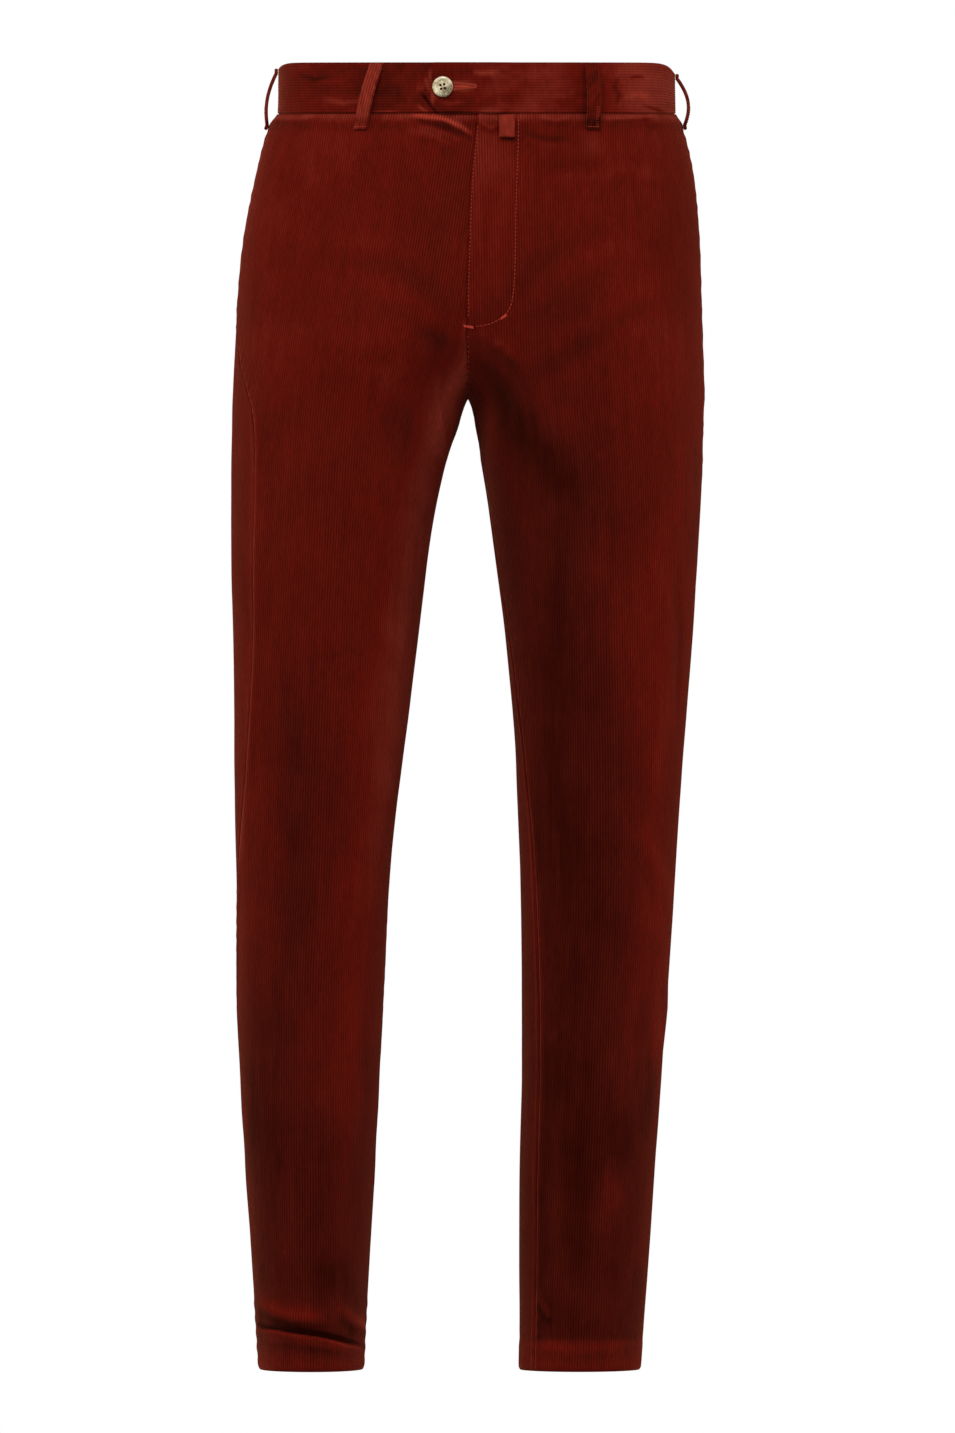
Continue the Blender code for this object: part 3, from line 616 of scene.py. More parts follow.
def soft_noise(seed, u, v, cell_u, cell_v):
    """Smooth unevenness from -1 to 1 over flat cloth coordinates, the same on every run."""
    table = np.random.RandomState(seed).uniform(-1, 1, (NOISE_CELLS, NOISE_CELLS))
    gu = u / cell_u + NOISE_START
    gv = v / cell_v + NOISE_START
    iu = np.floor(gu).astype(int)
    iv = np.floor(gv).astype(int)
    tu = soft_step(gu - iu, 0, 1)
    tv = soft_step(gv - iv, 0, 1)
    left, right = iu % NOISE_CELLS, (iu + 1) % NOISE_CELLS
    above, below = iv % NOISE_CELLS, (iv + 1) % NOISE_CELLS
    top = table[left, above] * (1 - tu) + table[right, above] * tu
    foot = table[left, below] * (1 - tu) + table[right, below] * tu
    return top * (1 - tv) + foot * tv


def soft_bump(value, width):
    """1 where the value is 0, falling off softly over the width."""
    return np.exp(-(value / width) ** 2)


def soft_line(u, v, path, width):
    """1 along a line of flat places, falling off softly to its sides and thinning towards its ends."""
    path = np.array(path, float)
    steps = np.diff(path, axis=0)
    lengths = np.linalg.norm(steps, axis=1)
    starts = run_along(path)
    nearest = np.full(u.shape, 1e9)
    along = np.zeros(u.shape)
    for place, step, length, start in zip(path, steps, lengths, starts):
        du = u - place[0]
        dv = v - place[1]
        t = np.clip((du * step[0] + dv * step[1]) / length ** 2, 0, 1)
        gap = np.hypot(du - t * step[0], dv - t * step[1])
        closer = gap < nearest
        nearest = np.where(closer, gap, nearest)
        along = np.where(closer, (start + t * length) / starts[-1], along)
    taper = 1 - np.abs(2 * along - 1) ** 3
    return soft_bump(nearest, width) * taper


def soft_patches(u, v, patches, tone):
    """Adds soft patches of tone, each (u, v, half size across and down, lean, amount)."""
    for u0, v0, half_across, half_down, lean, amount in patches:
        lean = radians(lean)
        du = u - u0
        dv = v - v0
        across = (du * cos(lean) + dv * sin(lean)) / half_across
        down = (dv * cos(lean) - du * sin(lean)) / half_down
        tone = tone + amount * np.exp(-across ** 2 - down ** 2)
    return tone


# ---------------------------------------------------------------- meshes

SHARP_CLOTH = 82.0
SHARP_BUTTON = 40.0


def add_object(name, data):
    item = bpy.data.objects.new(name, data)
    bpy.context.scene.collection.objects.link(item)
    return item


class Shell:
    """Points, faces, flat map and material slots of one piece while it is put together."""

    def __init__(self):
        self.points = []
        self.count = 0
        self.faces = []
        self.map = []
        self.slots = []
        # The nap values hold painted light and shade as well as the nap itself
        self.values = {"wale": [], "nap_and_painted_light": []}

    def add_points(self, points, wale=0.5, nap_and_painted_light=0.0):
        """Adds points in millimetres and returns the index of each."""
        flat = np.reshape(points, (-1, 3))
        shape = np.shape(points)[:-1]
        index = self.count + np.arange(len(flat))
        self.points.append(flat)
        self.count += len(flat)
        self.values["wale"].append(np.broadcast_to(wale, shape).ravel())
        self.values["nap_and_painted_light"].append(np.broadcast_to(nap_and_painted_light, shape).ravel())
        return index.reshape(shape)

    def add_grid(self, index, places, slot=0, flip=False):
        """Faces over a grid of indices; a side whose two corners are one point is left out."""
        low, high = slice(None, -1), slice(1, None)
        corners = [(low, low), (high, low), (high, high), (low, high)]
        ids = np.stack([index[c] for c in corners], axis=-1).reshape(-1, 4)
        maps = np.stack([places[c] for c in corners], axis=-2).reshape(-1, 4, 2)
        top = ids[:, 0] != ids[:, 3]
        foot = ids[:, 1] != ids[:, 2]
        for keep, order in ((top & foot, [0, 1, 2, 3]), (~top & foot, [0, 1, 2]), (top & ~foot, [0, 1, 3])):
            if flip:
                order = order[::-1]
            self.faces.extend(ids[keep][:, order].tolist())
            self.map.append(maps[keep][:, order].reshape(-1, 2))
            self.slots.append(np.full(keep.sum(), slot))

    def add_face(self, index, places, slot=0, flip=False):
        if flip:
            index = index[::-1]
            places = places[::-1]
        self.faces.append([int(i) for i in index])
        self.map.append(np.array(places, float))
        self.slots.append(np.array([slot]))

    def finish(self, name, materials, with_map=True):
        mesh = bpy.data.meshes.new(name)
        mesh.from_pydata((np.concatenate(self.points) * MM).tolist(), [], self.faces)
        for material in materials:
            mesh.materials.append(material)
        mesh.polygons.foreach_set("material_index", np.concatenate(self.slots).astype(np.int32))
        for key, parts in self.values.items():
            layer = mesh.attributes.new(key, "FLOAT", "POINT")
            layer.data.foreach_set("value", np.concatenate(parts).astype(np.float32))
        if with_map:
            layer = mesh.uv_layers.new(name="OFBake")
            layer.data.foreach_set("uv", np.concatenate(self.map).astype(np.float32).ravel())
        mesh.shade_smooth()
        mesh.set_sharp_from_angle(angle=radians(SHARP_CLOTH))
        mesh.update()
        piece = add_object(name, mesh)
        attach(piece, "root")
        return piece


def add_tube(shell, ids, flip):
    """Faces round a strap's rings of points and a face over each end."""
    ring_ids = np.concatenate((ids, ids[:, :1]), axis=1)
    places = np.stack(np.meshgrid(np.linspace(0.02, 0.98, ring_ids.shape[1]),
                                  np.linspace(0.08, 0.92, ring_ids.shape[0])), axis=-1)
    shell.add_grid(ring_ids, places, 0, flip)
    end_places = [(0.1 + 0.03 * cos(a), 0.96 + 0.03 * sin(a)) for a in turns_round(ids.shape[1])]
    shell.add_face(list(ids[0]), end_places, 0, flip)
    shell.add_face(list(ids[-1]), end_places, 0, not flip)


def wale_profile(phase, height):
    """Height of one rib: a groove at phase 0, then a round crown."""
    return height * np.abs(np.sin(np.pi * phase)) ** WALE_ROUND


# ---------------------------------------------------------------- panels

# Places on a panel's flat map, in millimetres before it is scaled
MAP_SCALE = 1 / 1120.0
MAP_EDGE = 8.0
MAP_INNER = 330.0
MAP_RIM = 680.0
MAP_STRIP = 12.0
MAP_WALL = 4
FINE = 181
LAST_ROWS = [1089.5, 1091.2, LENGTH]


def panel_drops():
    drops = [BAND_HEIGHT - WAIST_TUCK]
    for start, end, step in ROW_STRETCHES:
        count = max(1, round((end - start) / step))
        drops += [start + (end - start) * i / count for i in range(count)]
    return np.array(drops + LAST_ROWS)


def section_runs(side, face, drops, extra=0.0):
    """Angles across a panel at each drop, and the length of cloth from its side seam to each."""
    start = measure(side, "outseam", drops)
    end = face * centre_angle(drops) + measure(side, "inseam", drops)
    angles = start[:, None] + (end + extra - start)[:, None] * np.linspace(0, 1, FINE)
    points = section_point(side, np.broadcast_to(drops[:, None], angles.shape), angles)
    steps = np.linalg.norm(np.diff(points, axis=1), axis=2)
    run = np.concatenate((np.zeros((len(drops), 1)), np.cumsum(steps, axis=1)), axis=1)
    width = rows_interp(end[:, None], angles, run, face)[:, 0]
    grain = angle_at(side, face, drops, grain_at(side, drops))
    return angles, run, width, rows_interp(grain[:, None], angles, run, face)[:, 0]


def rows_interp(at, knots, values, way=1):
    """np.interp row by row; knots run down instead of up where way is -1."""
    return np.array([np.interp(way * a, way * k, v) for a, k, v in zip(at, knots, values)])


def flat_place(side, face, x, drop):
    """Flat cloth coordinates of a place: the length of cloth from the grain line, and the drop."""
    drops = np.array([float(drop)])
    angles, run, _, grain = section_runs(side, face, drops)
    angle = angle_at(side, face, drops, float(x))
    return float(rows_interp(angle[:, None], angles, run, face)[0, 0] - grain[0]), float(drop)


def crease_height(side, face, u, v):
    """Creases and unevenness of a panel above its bare section."""
    height = 0.5 * soft_noise(11 + side + 3 * face, u, v, 62, 90)
    height = height + 0.22 * soft_noise(23 + side, u, v, 24, 34)
    for crease in rows_of(CREASE_COLUMNS, CREASES[side, face]):
        path = [flat_place(side, face, x, drop) for x, drop in crease["path"]]
        height = height + crease["height"] * soft_line(u, v, path, crease["width"])
    return height


def nap_and_light_tone(side, face, u, v):
    """How much lighter or darker the pile is: uneven nap, and painted light and shade from the tables."""
    tone = 0.06 * soft_noise(41 + side, u, v, 30, 70) + 0.06 * soft_noise(43 + face, u, v, 9, 14)
    tone = tone + 0.05 * soft_noise(47 + side, u, v, 4, 30)
    tone = tone + column_at(NAP_AND_PAINTED_FALLOFF_DOWN, 1, v)
    patches = [(*flat_place(side, face, x, drop), *rest) for x, drop, *rest in NAP_AND_PAINTED_LIGHT_PATCHES[side, face]]
    return soft_patches(u, v, patches, tone)


def seam_height(from_seam, v):
    """A seam's dip, with a low roll beside it that the stitches pucker."""
    pucker = SEAM_PUCKER * np.sin(v * 2 * np.pi / SEAM_PUCKER_PITCH + 3 * np.sin(v / 47.0))
    return ((SEAM_ROLL + pucker) * soft_bump(from_seam - SEAM_ROLL_PLACE, SEAM_ROLL_WIDTH)
            - SEAM_DIP * soft_bump(from_seam, SEAM_DIP_WIDTH))


def waist_height(u, v):
    """The dip and small puckers where a panel is sewn to the waistband."""
    below = v - BAND_HEIGHT
    pucker = 0.55 * soft_noise(5, u, v, 7, 60) + 0.35 * soft_noise(7, u, v, 15, 60)
    return (0.9 + pucker) * soft_bump(below - 6.0, 4.5) - 0.5 * soft_bump(below, 1.6)


def hem_height(u, v):
    """The turned-up hem: a fuller band below its stitching, and small puckers along that."""
    above = LENGTH - v
    pucker = 0.30 * soft_noise(9, u, v, 6, 40)
    band = 0.35 * soft_step(HEM_TURN - above, 0, 8)
    return band + (0.7 * pucker - 0.2) * soft_bump(above - HEM_TURN, 3.5)


def panel_lift(side, face, u, v, turn, from_side, to_inner, fly_share):
    """Height of a panel's cloth above its bare section, without its ribs; creases are calm near seams."""
    sewn = (1 - soft_step(to_inner, 0, SEAM_CALM)) * (1 - fly_share)
    calm = soft_step(from_side, 0, SEAM_CALM) * (1 - sewn)
    lift = fold_height(side, v, turn) + calm * crease_height(side, face, u, v)
    lift += waist_height(u, v) + hem_height(u, v) * (0.4 + 0.6 * calm) + seam_height(from_side, v)
    lift += seam_height(to_inner, v) * (1 - fly_share)
    if (side, face) == (1, 1):
        lift += fly_share * FLY_LIFT * (1 - soft_step(to_inner, 2.0, FLY_LIFT_WIDTH))
        lift -= fly_share * FLY_EDGE_DIP * soft_bump(to_inner, SEAM_DIP_WIDTH)
    if (side, face) == (-1, 1):
        lift -= fly_share * UNDERLAP_SINK * (1 - soft_step(to_inner, UNDERLAP * 0.6, UNDERLAP + 3))
    return lift


def tuck_behind_tab(base, normal, turn, outer, inner):
    """Carries the top edge of the fly up behind the waistband's tab, which stands off it."""
    lap_share = np.clip((turn - LAP_START) / (LAP_FULL - LAP_START), 0, 1)
    hidden = soft_step(lap_share, 0.3, 0.6)[:, None]
    behind = (BAND_CLOTH + SEAM) * lap_share - BAND_CLOTH - TAB_CLEAR
    top = base + normal * behind[:, None] + (0.0, 0.0, TAB_TUCK)
    outer[0] += hidden * (top - outer[0])
    inner[0] += hidden * (top - TUCK_CLOTH * normal - inner[0])


def panel_columns(side, face, drops):
    """Where a panel's columns lie: lengths from the side seam, ends, flat places, angles, rib phases."""
    under = (side, face) == (-1, 1)
    lap = UNDERLAP * (1 - soft_step(drops, *UNDERLAP_END)) if under else np.zeros_like(drops)
    angles, run, width, grain = section_runs(side, face, drops, UNDERLAP_TURN if under else 0.0)
    end = width + lap
    first = -WALE_STEPS * int(np.ceil(grain.max() / WALE))
    last = WALE_STEPS * int(np.ceil((end - grain).max() / WALE))
    columns = np.arange(first, last + 1)
    across = columns * (WALE / WALE_STEPS)
    v = np.broadcast_to(drops[:, None], (len(drops), len(columns)))
    wander = 0.25 * soft_noise(3, across[None, :] + 0 * v, v, 30, 55)
    arc = np.clip(grain[:, None] + across + wander, 0.0, end[:, None])
    phase = (columns % WALE_STEPS) / WALE_STEPS
    return arc, end, arc - grain[:, None], v, rows_interp(arc, run, angles), phase


def build_panel(name, side, face, materials):
    """A front or back: ribbed outside, smooth inside, sewn edges dipped and the hem turned up."""
    drops = panel_drops()
    arc, end, u, v, turn, phase = panel_columns(side, face, drops)
    base = section_point(side, v, turn)
    normal = outward(side, v, turn)
    to_inner = end[:, None] - arc
    above_hem = LENGTH - v
    fade = soft_step(np.minimum(arc, to_inner), *RIB_AT_SEAM) * soft_step(above_hem, *RIB_AT_HEM)
    worn = 1 - RIB_WORN + RIB_WORN * soft_noise(17, u, v, 5, 26)
    rib = wale_profile(phase, WALE_HEIGHT) * fade * worn
    fly_share = (1 - soft_step(v, *FLY_END)) if face == 1 else 0 * v
    lift = panel_lift(side, face, u, v, turn, arc, to_inner, fly_share)
    hem_edge = soft_bump(above_hem, HEM_EDGE_WIDTH)
    outer = base + normal * (lift + rib - HEM_EDGE_ROUND * hem_edge)[..., None]
    hem_double = HEM_DOUBLE * soft_step(v, LENGTH - HEM_TURN - 1, LENGTH - HEM_TURN + 1)
    wall = CLOTH - WALL_LESS + hem_double - HEM_EDGE_THIN * hem_edge
    inner = base + normal * (lift - wall)[..., None]
    meet = (1 - fly_share) * (v < CROTCH) * soft_bump(to_inner, MEET_WIDTH)
    middle = centre_at(v)
    outer[..., 0] += meet * (middle - outer[:, -1:, 0])
    inner[..., 0] += meet * (middle - inner[:, -1:, 0])
    if (side, face) == (1, 1):
        tuck_behind_tab(base[0], normal[0], turn[0], outer, inner)
    # Painted light and shade: lighter where the cloth leans up towards the light above, lighter on ridges
    # and darker in troughs
    painted_slope_light = SLOPE_PAINTED_LIGHT * np.gradient(lift, drops, axis=0) + HEIGHT_NAP_AND_SHADE_TONE * (lift - fly_share * FLY_LIFT)
    nap_and_painted_light = nap_and_light_tone(side, face, u, v) + np.clip(painted_slope_light, *TONE_LIMITS)
    nap_and_painted_light = seam_painted_highlight(nap_and_painted_light, arc, to_inner, v, fly_share)
    # Painted shade just below the back waistband
    if face == -1:
        nap_and_painted_light -= BACK_WAIST_PAINTED_SHADE * soft_bump(v - BAND_HEIGHT, BACK_WAIST_SHADE_WIDTH)
    rib_share = rib / WALE_HEIGHT
    return panel_mesh(name, side * face > 0, outer, inner, arc, end, (u, v), rib_share, nap_and_painted_light, materials)


def seam_painted_highlight(nap_and_painted_light, from_side, to_inner, v, fly_share):
    """Adds the painted highlight along the side seam, fullest over the thigh and knee, and that of the
    inseam.
    """
    (start, full), (fade, end) = SIDE_SEAM_HIGHLIGHT_SPAN
    full_share = (1 - SIDE_SEAM_HIGHLIGHT_ELSEWHERE) * soft_step(v, start, full) * (1 - soft_step(v, fade, end))
    shown = SIDE_SEAM_HIGHLIGHT_ELSEWHERE + full_share
    nap_and_painted_light = nap_and_painted_light + SEAM_PAINTED_HIGHLIGHT * shown * soft_bump(from_side, SEAM_HIGHLIGHT_WIDTH)
    return nap_and_painted_light + INSEAM_PAINTED_HIGHLIGHT * (1 - fly_share) * soft_bump(to_inner, SEAM_HIGHLIGHT_WIDTH)


def panel_mesh(name, flip, outer, inner, arc, end, flat, rib, nap_and_painted_light, materials):
    """Puts a panel together: every column outside, one a rib inside, and rims round all four edges."""
    shell = Shell()
    u, v = flat
    columns = np.arange(arc.shape[1])
    low = np.array([np.max(columns[a <= 1e-6], initial=0) for a in arc])
    high = np.array([np.min(columns[a >= e - 1e-6], initial=columns[-1]) for a, e in zip(arc, end)])
    clamped = np.clip(columns[None, :], low[:, None], high[:, None])
    rows = np.arange(arc.shape[0])[:, None]
    out_ids = shell.add_points(outer, rib, nap_and_painted_light)[rows, clamped]
    in_ids = shell.add_points(inner, 0.5, nap_and_painted_light)[rows, clamped][:, ::WALE_STEPS]
    places = np.stack((u - u.min(), LENGTH - v), axis=-1) + (MAP_EDGE, MAP_EDGE)
    in_places = places[:, ::WALE_STEPS] + (MAP_INNER, 0.0)
    shell.add_grid(out_ids, places * MAP_SCALE, 0, flip)
    shell.add_grid(in_ids, in_places * MAP_SCALE, 1, not flip)
    height = LENGTH - v[:, 0] + MAP_EDGE
    for strip, column, way in ((0, 0, not flip), (1, -1, flip)):
        left = MAP_RIM + MAP_STRIP * strip
        sides = [np.stack((np.full_like(height, left + w), height), axis=1) for w in (0, MAP_WALL)]
        ids = np.stack((out_ids[:, column], in_ids[:, column]), axis=1)
        shell.add_grid(ids, np.stack(sides, axis=1) * MAP_SCALE, 0, way)
    for strip, row, way in ((2, 0, not flip), (3, -1, flip)):
        left = MAP_RIM + MAP_STRIP * strip
        for column in range(in_ids.shape[1] - 1):
            if in_ids[row, column] == in_ids[row, column + 1]:
                continue
            span = out_ids[row, column * WALE_STEPS:(column + 1) * WALE_STEPS + 1]
            span = list(dict.fromkeys(span.tolist()))
            y = MAP_EDGE + column * WALE
            corners = [(left, y + WALE * i / max(1, len(span) - 1)) for i in range(len(span))]
            corners += [(left + MAP_WALL, y + WALE), (left + MAP_WALL, y)]
            loop = span + [in_ids[row, column + 1], in_ids[row, column]]
            shell.add_face(loop, np.array(corners) * MAP_SCALE, 0, way)
    return tidy_shell(shell).finish(name, materials)


def tidy_shell(shell):
    """Drops the points that no face uses."""
    points = np.concatenate(shell.points)
    used = np.zeros(len(points), bool)
    used[np.concatenate([np.array(f) for f in shell.faces])] = True
    new = np.cumsum(used) - 1
    shell.faces = [[int(new[i]) for i in face] for face in shell.faces]
    shell.points = [points[used]]
    shell.values = {key: [np.concatenate(parts)[used]] for key, parts in shell.values.items()}
    return shell


def panel_cut(side, face):
    """Flat width, length and area of a panel's cloth that shows, hem turn-up left out."""
    drops = panel_drops()
    _, _, width, _ = section_runs(side, face, drops)
    area = np.sum((width[1:] + width[:-1]) / 2 * np.diff(drops))
    return width.max(), LENGTH - BAND_HEIGHT, area


# ---------------------------------------------------------------- waistband

def even_angles(side, drop, start, end, count, trim_start, trim_end):
    """Angles at even lengths along one section, with the seam gaps taken off its ends."""
    fine = np.linspace(start, end, 121)
    run = run_along(section_point(side, np.full_like(fine, drop), fine))
    return np.interp(np.linspace(trim_start, run[-1] - trim_end, count), run, fine)


# The band's edge rows: (distance from the edge, inward offset)
TOP_ROWS = ((0.15, 1.2), (0.35, 0.55), (0.9, 0.12))
FOOT_ROWS = ((0.9, 0.15), (0.45, 0.6), (0.2, 1.2))
BAND_EDGE = 1.3
# The outer rows at whose drops the band's plain inside has rows too
BAND_INNER_ROWS = [0, 2, 20, 40, 60, -3, -1]
BAND_MAP = 520.0
RIGHT_COLUMNS = 300
LEFT_COLUMNS = 276
TAB_COLUMNS = 56
# The back's X is moved by this, so that the front's marks don't appear there as well
BACK_SHIFT = 400.0
BACK_SEAM_DIP = 0.8
BACK_SEAM_WIDTH = 1.4
TAB_END_ROUND = (0.35, 1.1)


def band_rows():
    """The band's outer rows as (drop, inward offset, rib phase)."""
    height = BAND_HEIGHT - 2 * BAND_EDGE
    count = int(height / BAND_WALE) * WALE_STEPS
    rows = [(drop, inward, 0.0) for drop, inward in TOP_ROWS]
    rows += [(BAND_EDGE + height * i / count, 0.0, (i % WALE_STEPS) / WALE_STEPS) for i in range(count + 1)]
    return rows + [(BAND_HEIGHT - above, inward, 0.0) for above, inward in FOOT_ROWS]


def band_creases(x, drop, height, scale):
    for crease in rows_of(BAND_CREASE_COLUMNS, BAND_CREASES):
        height = height + scale * crease["height"] * soft_line(x, drop, crease["path"], crease["width"])
    return height


def band_nap_and_painted_light(x, drop):
    # Uneven nap, plus painted light and shade from the band's table and painted light and shade along its
    # creases
    tone = 0.12 * soft_noise(51, x, drop, 24, 8) + 0.13 * soft_noise(53, x, drop, 8, 4)
    patches = [(*place, 0.0, amount) for *place, amount in BAND_NAP_AND_PAINTED_LIGHT]
    return band_creases(x, drop, soft_patches(x, drop, patches, tone), BAND_CREASE_PAINTED_LIGHT)


def band_lift(x, drop):
    height = 0.28 * soft_noise(31, x, drop, 38, 30) + 0.12 * soft_noise(33, x, drop, 12, 14)
    return band_creases(x, drop, height, 1.0)


def front_angle(x):
    """Angle on the waist's front at a distance from the centre line."""
    return 90 + degrees(asin((x / SIDES[1][0, 1]) ** (ROUNDNESS_HIP / 2)))


def band_columns(side, drop):
    """Angles along the band at a drop, and the lift of the lap over the other half."""
    if side == -1:
        angles = even_angles(side, drop, -90.0, 90.0, RIGHT_COLUMNS, SEAM / 2, 1.0)
        return angles, np.zeros_like(angles)
    body = even_angles(side, drop, -90.0, LAP_START, LEFT_COLUMNS, SEAM / 2, 0.0)
    middle = abs(drop - BAND_HEIGHT / 2) / (BAND_HEIGHT / 2)
    rounding = TAB_CORNER * max(0.0, middle - 0.75) / 0.25
    end = front_angle(TAB_REACH - TAB_SLANT * drop / BAND_HEIGHT - rounding)
    tab = even_angles(side, drop, LAP_START, end, TAB_COLUMNS, 0.0, 0.0)
    angles = np.concatenate((body, tab[1:], [end, end]))
    return angles, (BAND_CLOTH + SEAM) * np.clip((angles - LAP_START) / (LAP_FULL - LAP_START), 0, 1)


def band_row(side, drop, inward, phase):
    """One row of the band: its outer and inner points, rib tone, and nap with painted light and shade."""
    angles, lap = band_columns(side, drop)
    drops = np.full_like(angles, drop)
    normal = outward(side, np.full_like(angles, BAND_HEIGHT / 2), angles)
    base = section_point(side, drops, angles)
    x = base[:, 0] + BACK_SHIFT * (angles <= 0)
    back_seam = soft_bump(run_along(base), BACK_SEAM_WIDTH)
    lift = lap + band_lift(x, drops) - inward
    lift -= BACK_SEAM_DIP * back_seam
    if side == 1:
        lift[-2:] -= TAB_END_ROUND
    rib = wale_profile(phase, WALE_HEIGHT * 0.9) * (1 - back_seam)
    sag, spread = SIDE_DROPS[side]
    base[:, 2] -= sag * soft_bump(angles, spread) * (1 - drop / BAND_HEIGHT)
    outer = base + (lift + rib)[:, None] * normal
    inner = base + (lap - BAND_CLOTH + min(inward, 0.7))[:, None] * normal
    return outer, inner, 0.25 + 0.55 * rib / WALE_HEIGHT, band_nap_and_painted_light(x, drops)


def build_band(name, side, materials):
    """Half of the waistband with ribs along it, from the centre back to the centre front."""
    shell = Shell()
    rows = band_rows()
    row_drops = np.array([row[0] for row in rows])
    outer, inner, ribs, nap_and_light_rows = map(np.array, zip(*[band_row(side, *row) for row in rows]))
    inner = inner[BAND_INNER_ROWS]
    out_ids = shell.add_points(outer, ribs, nap_and_light_rows)
    in_ids = shell.add_points(inner, 0.5, 0.0)
    flip = side > 0
    run = np.linspace(MAP_EDGE, 500.0, outer.shape[1])
    places = np.stack(np.meshgrid(run, MAP_EDGE + row_drops), axis=-1)
    inner_places = np.stack(np.meshgrid(run, np.linspace(70.0, 112.0, len(inner))), axis=-1)
    shell.add_grid(out_ids, places / BAND_MAP, 0, not flip)
    shell.add_grid(in_ids, inner_places / BAND_MAP, 1, flip)
    for row, place, way in ((0, 130.0, flip), (-1, 140.0, not flip)):
        ids = np.stack((out_ids[row], in_ids[row]), axis=0)
        strip = np.stack(np.meshgrid(run, [place, place + 3.0]), axis=-1)
        shell.add_grid(ids, strip / BAND_MAP, 0, way)
    for column, place, way in ((0, 150.0, not flip), (-1, 210.0, flip)):
        loop = list(out_ids[:, column]) + list(in_ids[::-1, column])
        down = [(MAP_EDGE, place + drop) for drop in row_drops]
        up = [(MAP_EDGE + 3.0, place + 43.0 * i / (len(inner) - 1)) for i in range(len(inner))][::-1]
        shell.add_face(loop, np.array(down + up) / BAND_MAP, 0, way)
    return shell.finish(name, materials)


# ---------------------------------------------------------------- straps

def cloth_tree(pieces):
    points = []
    faces = []
    for piece in pieces:
        start = len(points)
        points.extend(vertex.co / MM for vertex in piece.data.vertices)
        faces.extend([start + index for index in face.vertices] for face in piece.data.polygons)
    return BVHTree.FromPolygons(points, faces)


def waist_place(side, angle, drop, out=0.0):
    """A point out from the waist's section, and the level directions out and along there."""
    base = Vector(section_point(side, np.array(BAND_HEIGHT / 2), np.array(angle)))
    way = Vector(outward(side, np.array(BAND_HEIGHT / 2), np.array(angle)))
    way.z = 0
    way.normalize()
    along = Vector((-way.y, way.x, 0)) * side
    base.z += BAND_HEIGHT / 2 - drop
    return base + way * out, way, along


def seat_height(tree, side, drop, angle, shift, width):
    """How far the pieces under a strap stand out from the waist's section at a drop."""
    base, way, along = waist_place(side, angle, drop)
    heights = []
    for share in (-0.5, -0.25, -0.06, 0.06, 0.25, 0.5):
        hit = tree.ray_cast(base + along * (shift + share * width) + way * 40, -way)[0]
        if hit is not None:
            heights.append((hit - base).dot(way))
    return max(heights)


STRAP_RIBS = 5
STRAP_EDGE = 0.28
STRAP_END = 0.55
STRAP_RIB_SHARE = 0.8
# Painted shade on a belt loop below the waist seam
STRAP_PAINTED_SHADE_BELOW = 0.5
STRAP_CRUSH = 0.30
KEEPER_CRUSH = 0.25
# Painted shade on a lit strap's edge
STRAP_PAINTED_SHADE_EDGE = 0.5


def strap_ring(thick):
    """Places round a strap's section, each (part of the width, height, rib phase)."""
    count = STRAP_RIBS * WALE_STEPS
    ring = [(-0.5 + (i + 0.5) / (count + 1) * 1.0, thick / 2, (i % WALE_STEPS) / WALE_STEPS)
            for i in range(count + 1)]
    ring += [(0.5, thick * STRAP_EDGE, 0.0), (0.5, -thick * STRAP_EDGE, 0.0)]
    ring += [(part, -thick / 2, 0.0) for part in (0.47, 0.2, -0.2, -0.47)]
    return ring + [(-0.5, -thick * STRAP_EDGE, 0.0), (-0.5, thick * STRAP_EDGE, 0.0)]


def strap_nap_and_painted_shade(name, angle, width, drop, parts, nap_and_painted_light):
    """Nap round a strap: crushed in places, with painted shade below the band and on a lit strap's shaded
    edge.
    """
    below = STRAP_PAINTED_SHADE_BELOW * soft_step(drop, BAND_HEIGHT, BAND_HEIGHT + 6) * (name != KEEPER_NAME)
    crush = soft_noise(61, parts + 31 * abs(angle), parts + drop, 5, 4)
    painted_edge_shade = STRAP_PAINTED_SHADE_EDGE * soft_bump(parts + 0.44 * width, 0.9) * (nap_and_painted_light > 0.5)
    return nap_and_painted_light - below + (STRAP_CRUSH + KEEPER_CRUSH * (nap_and_painted_light > 1)) * crush - painted_edge_shade


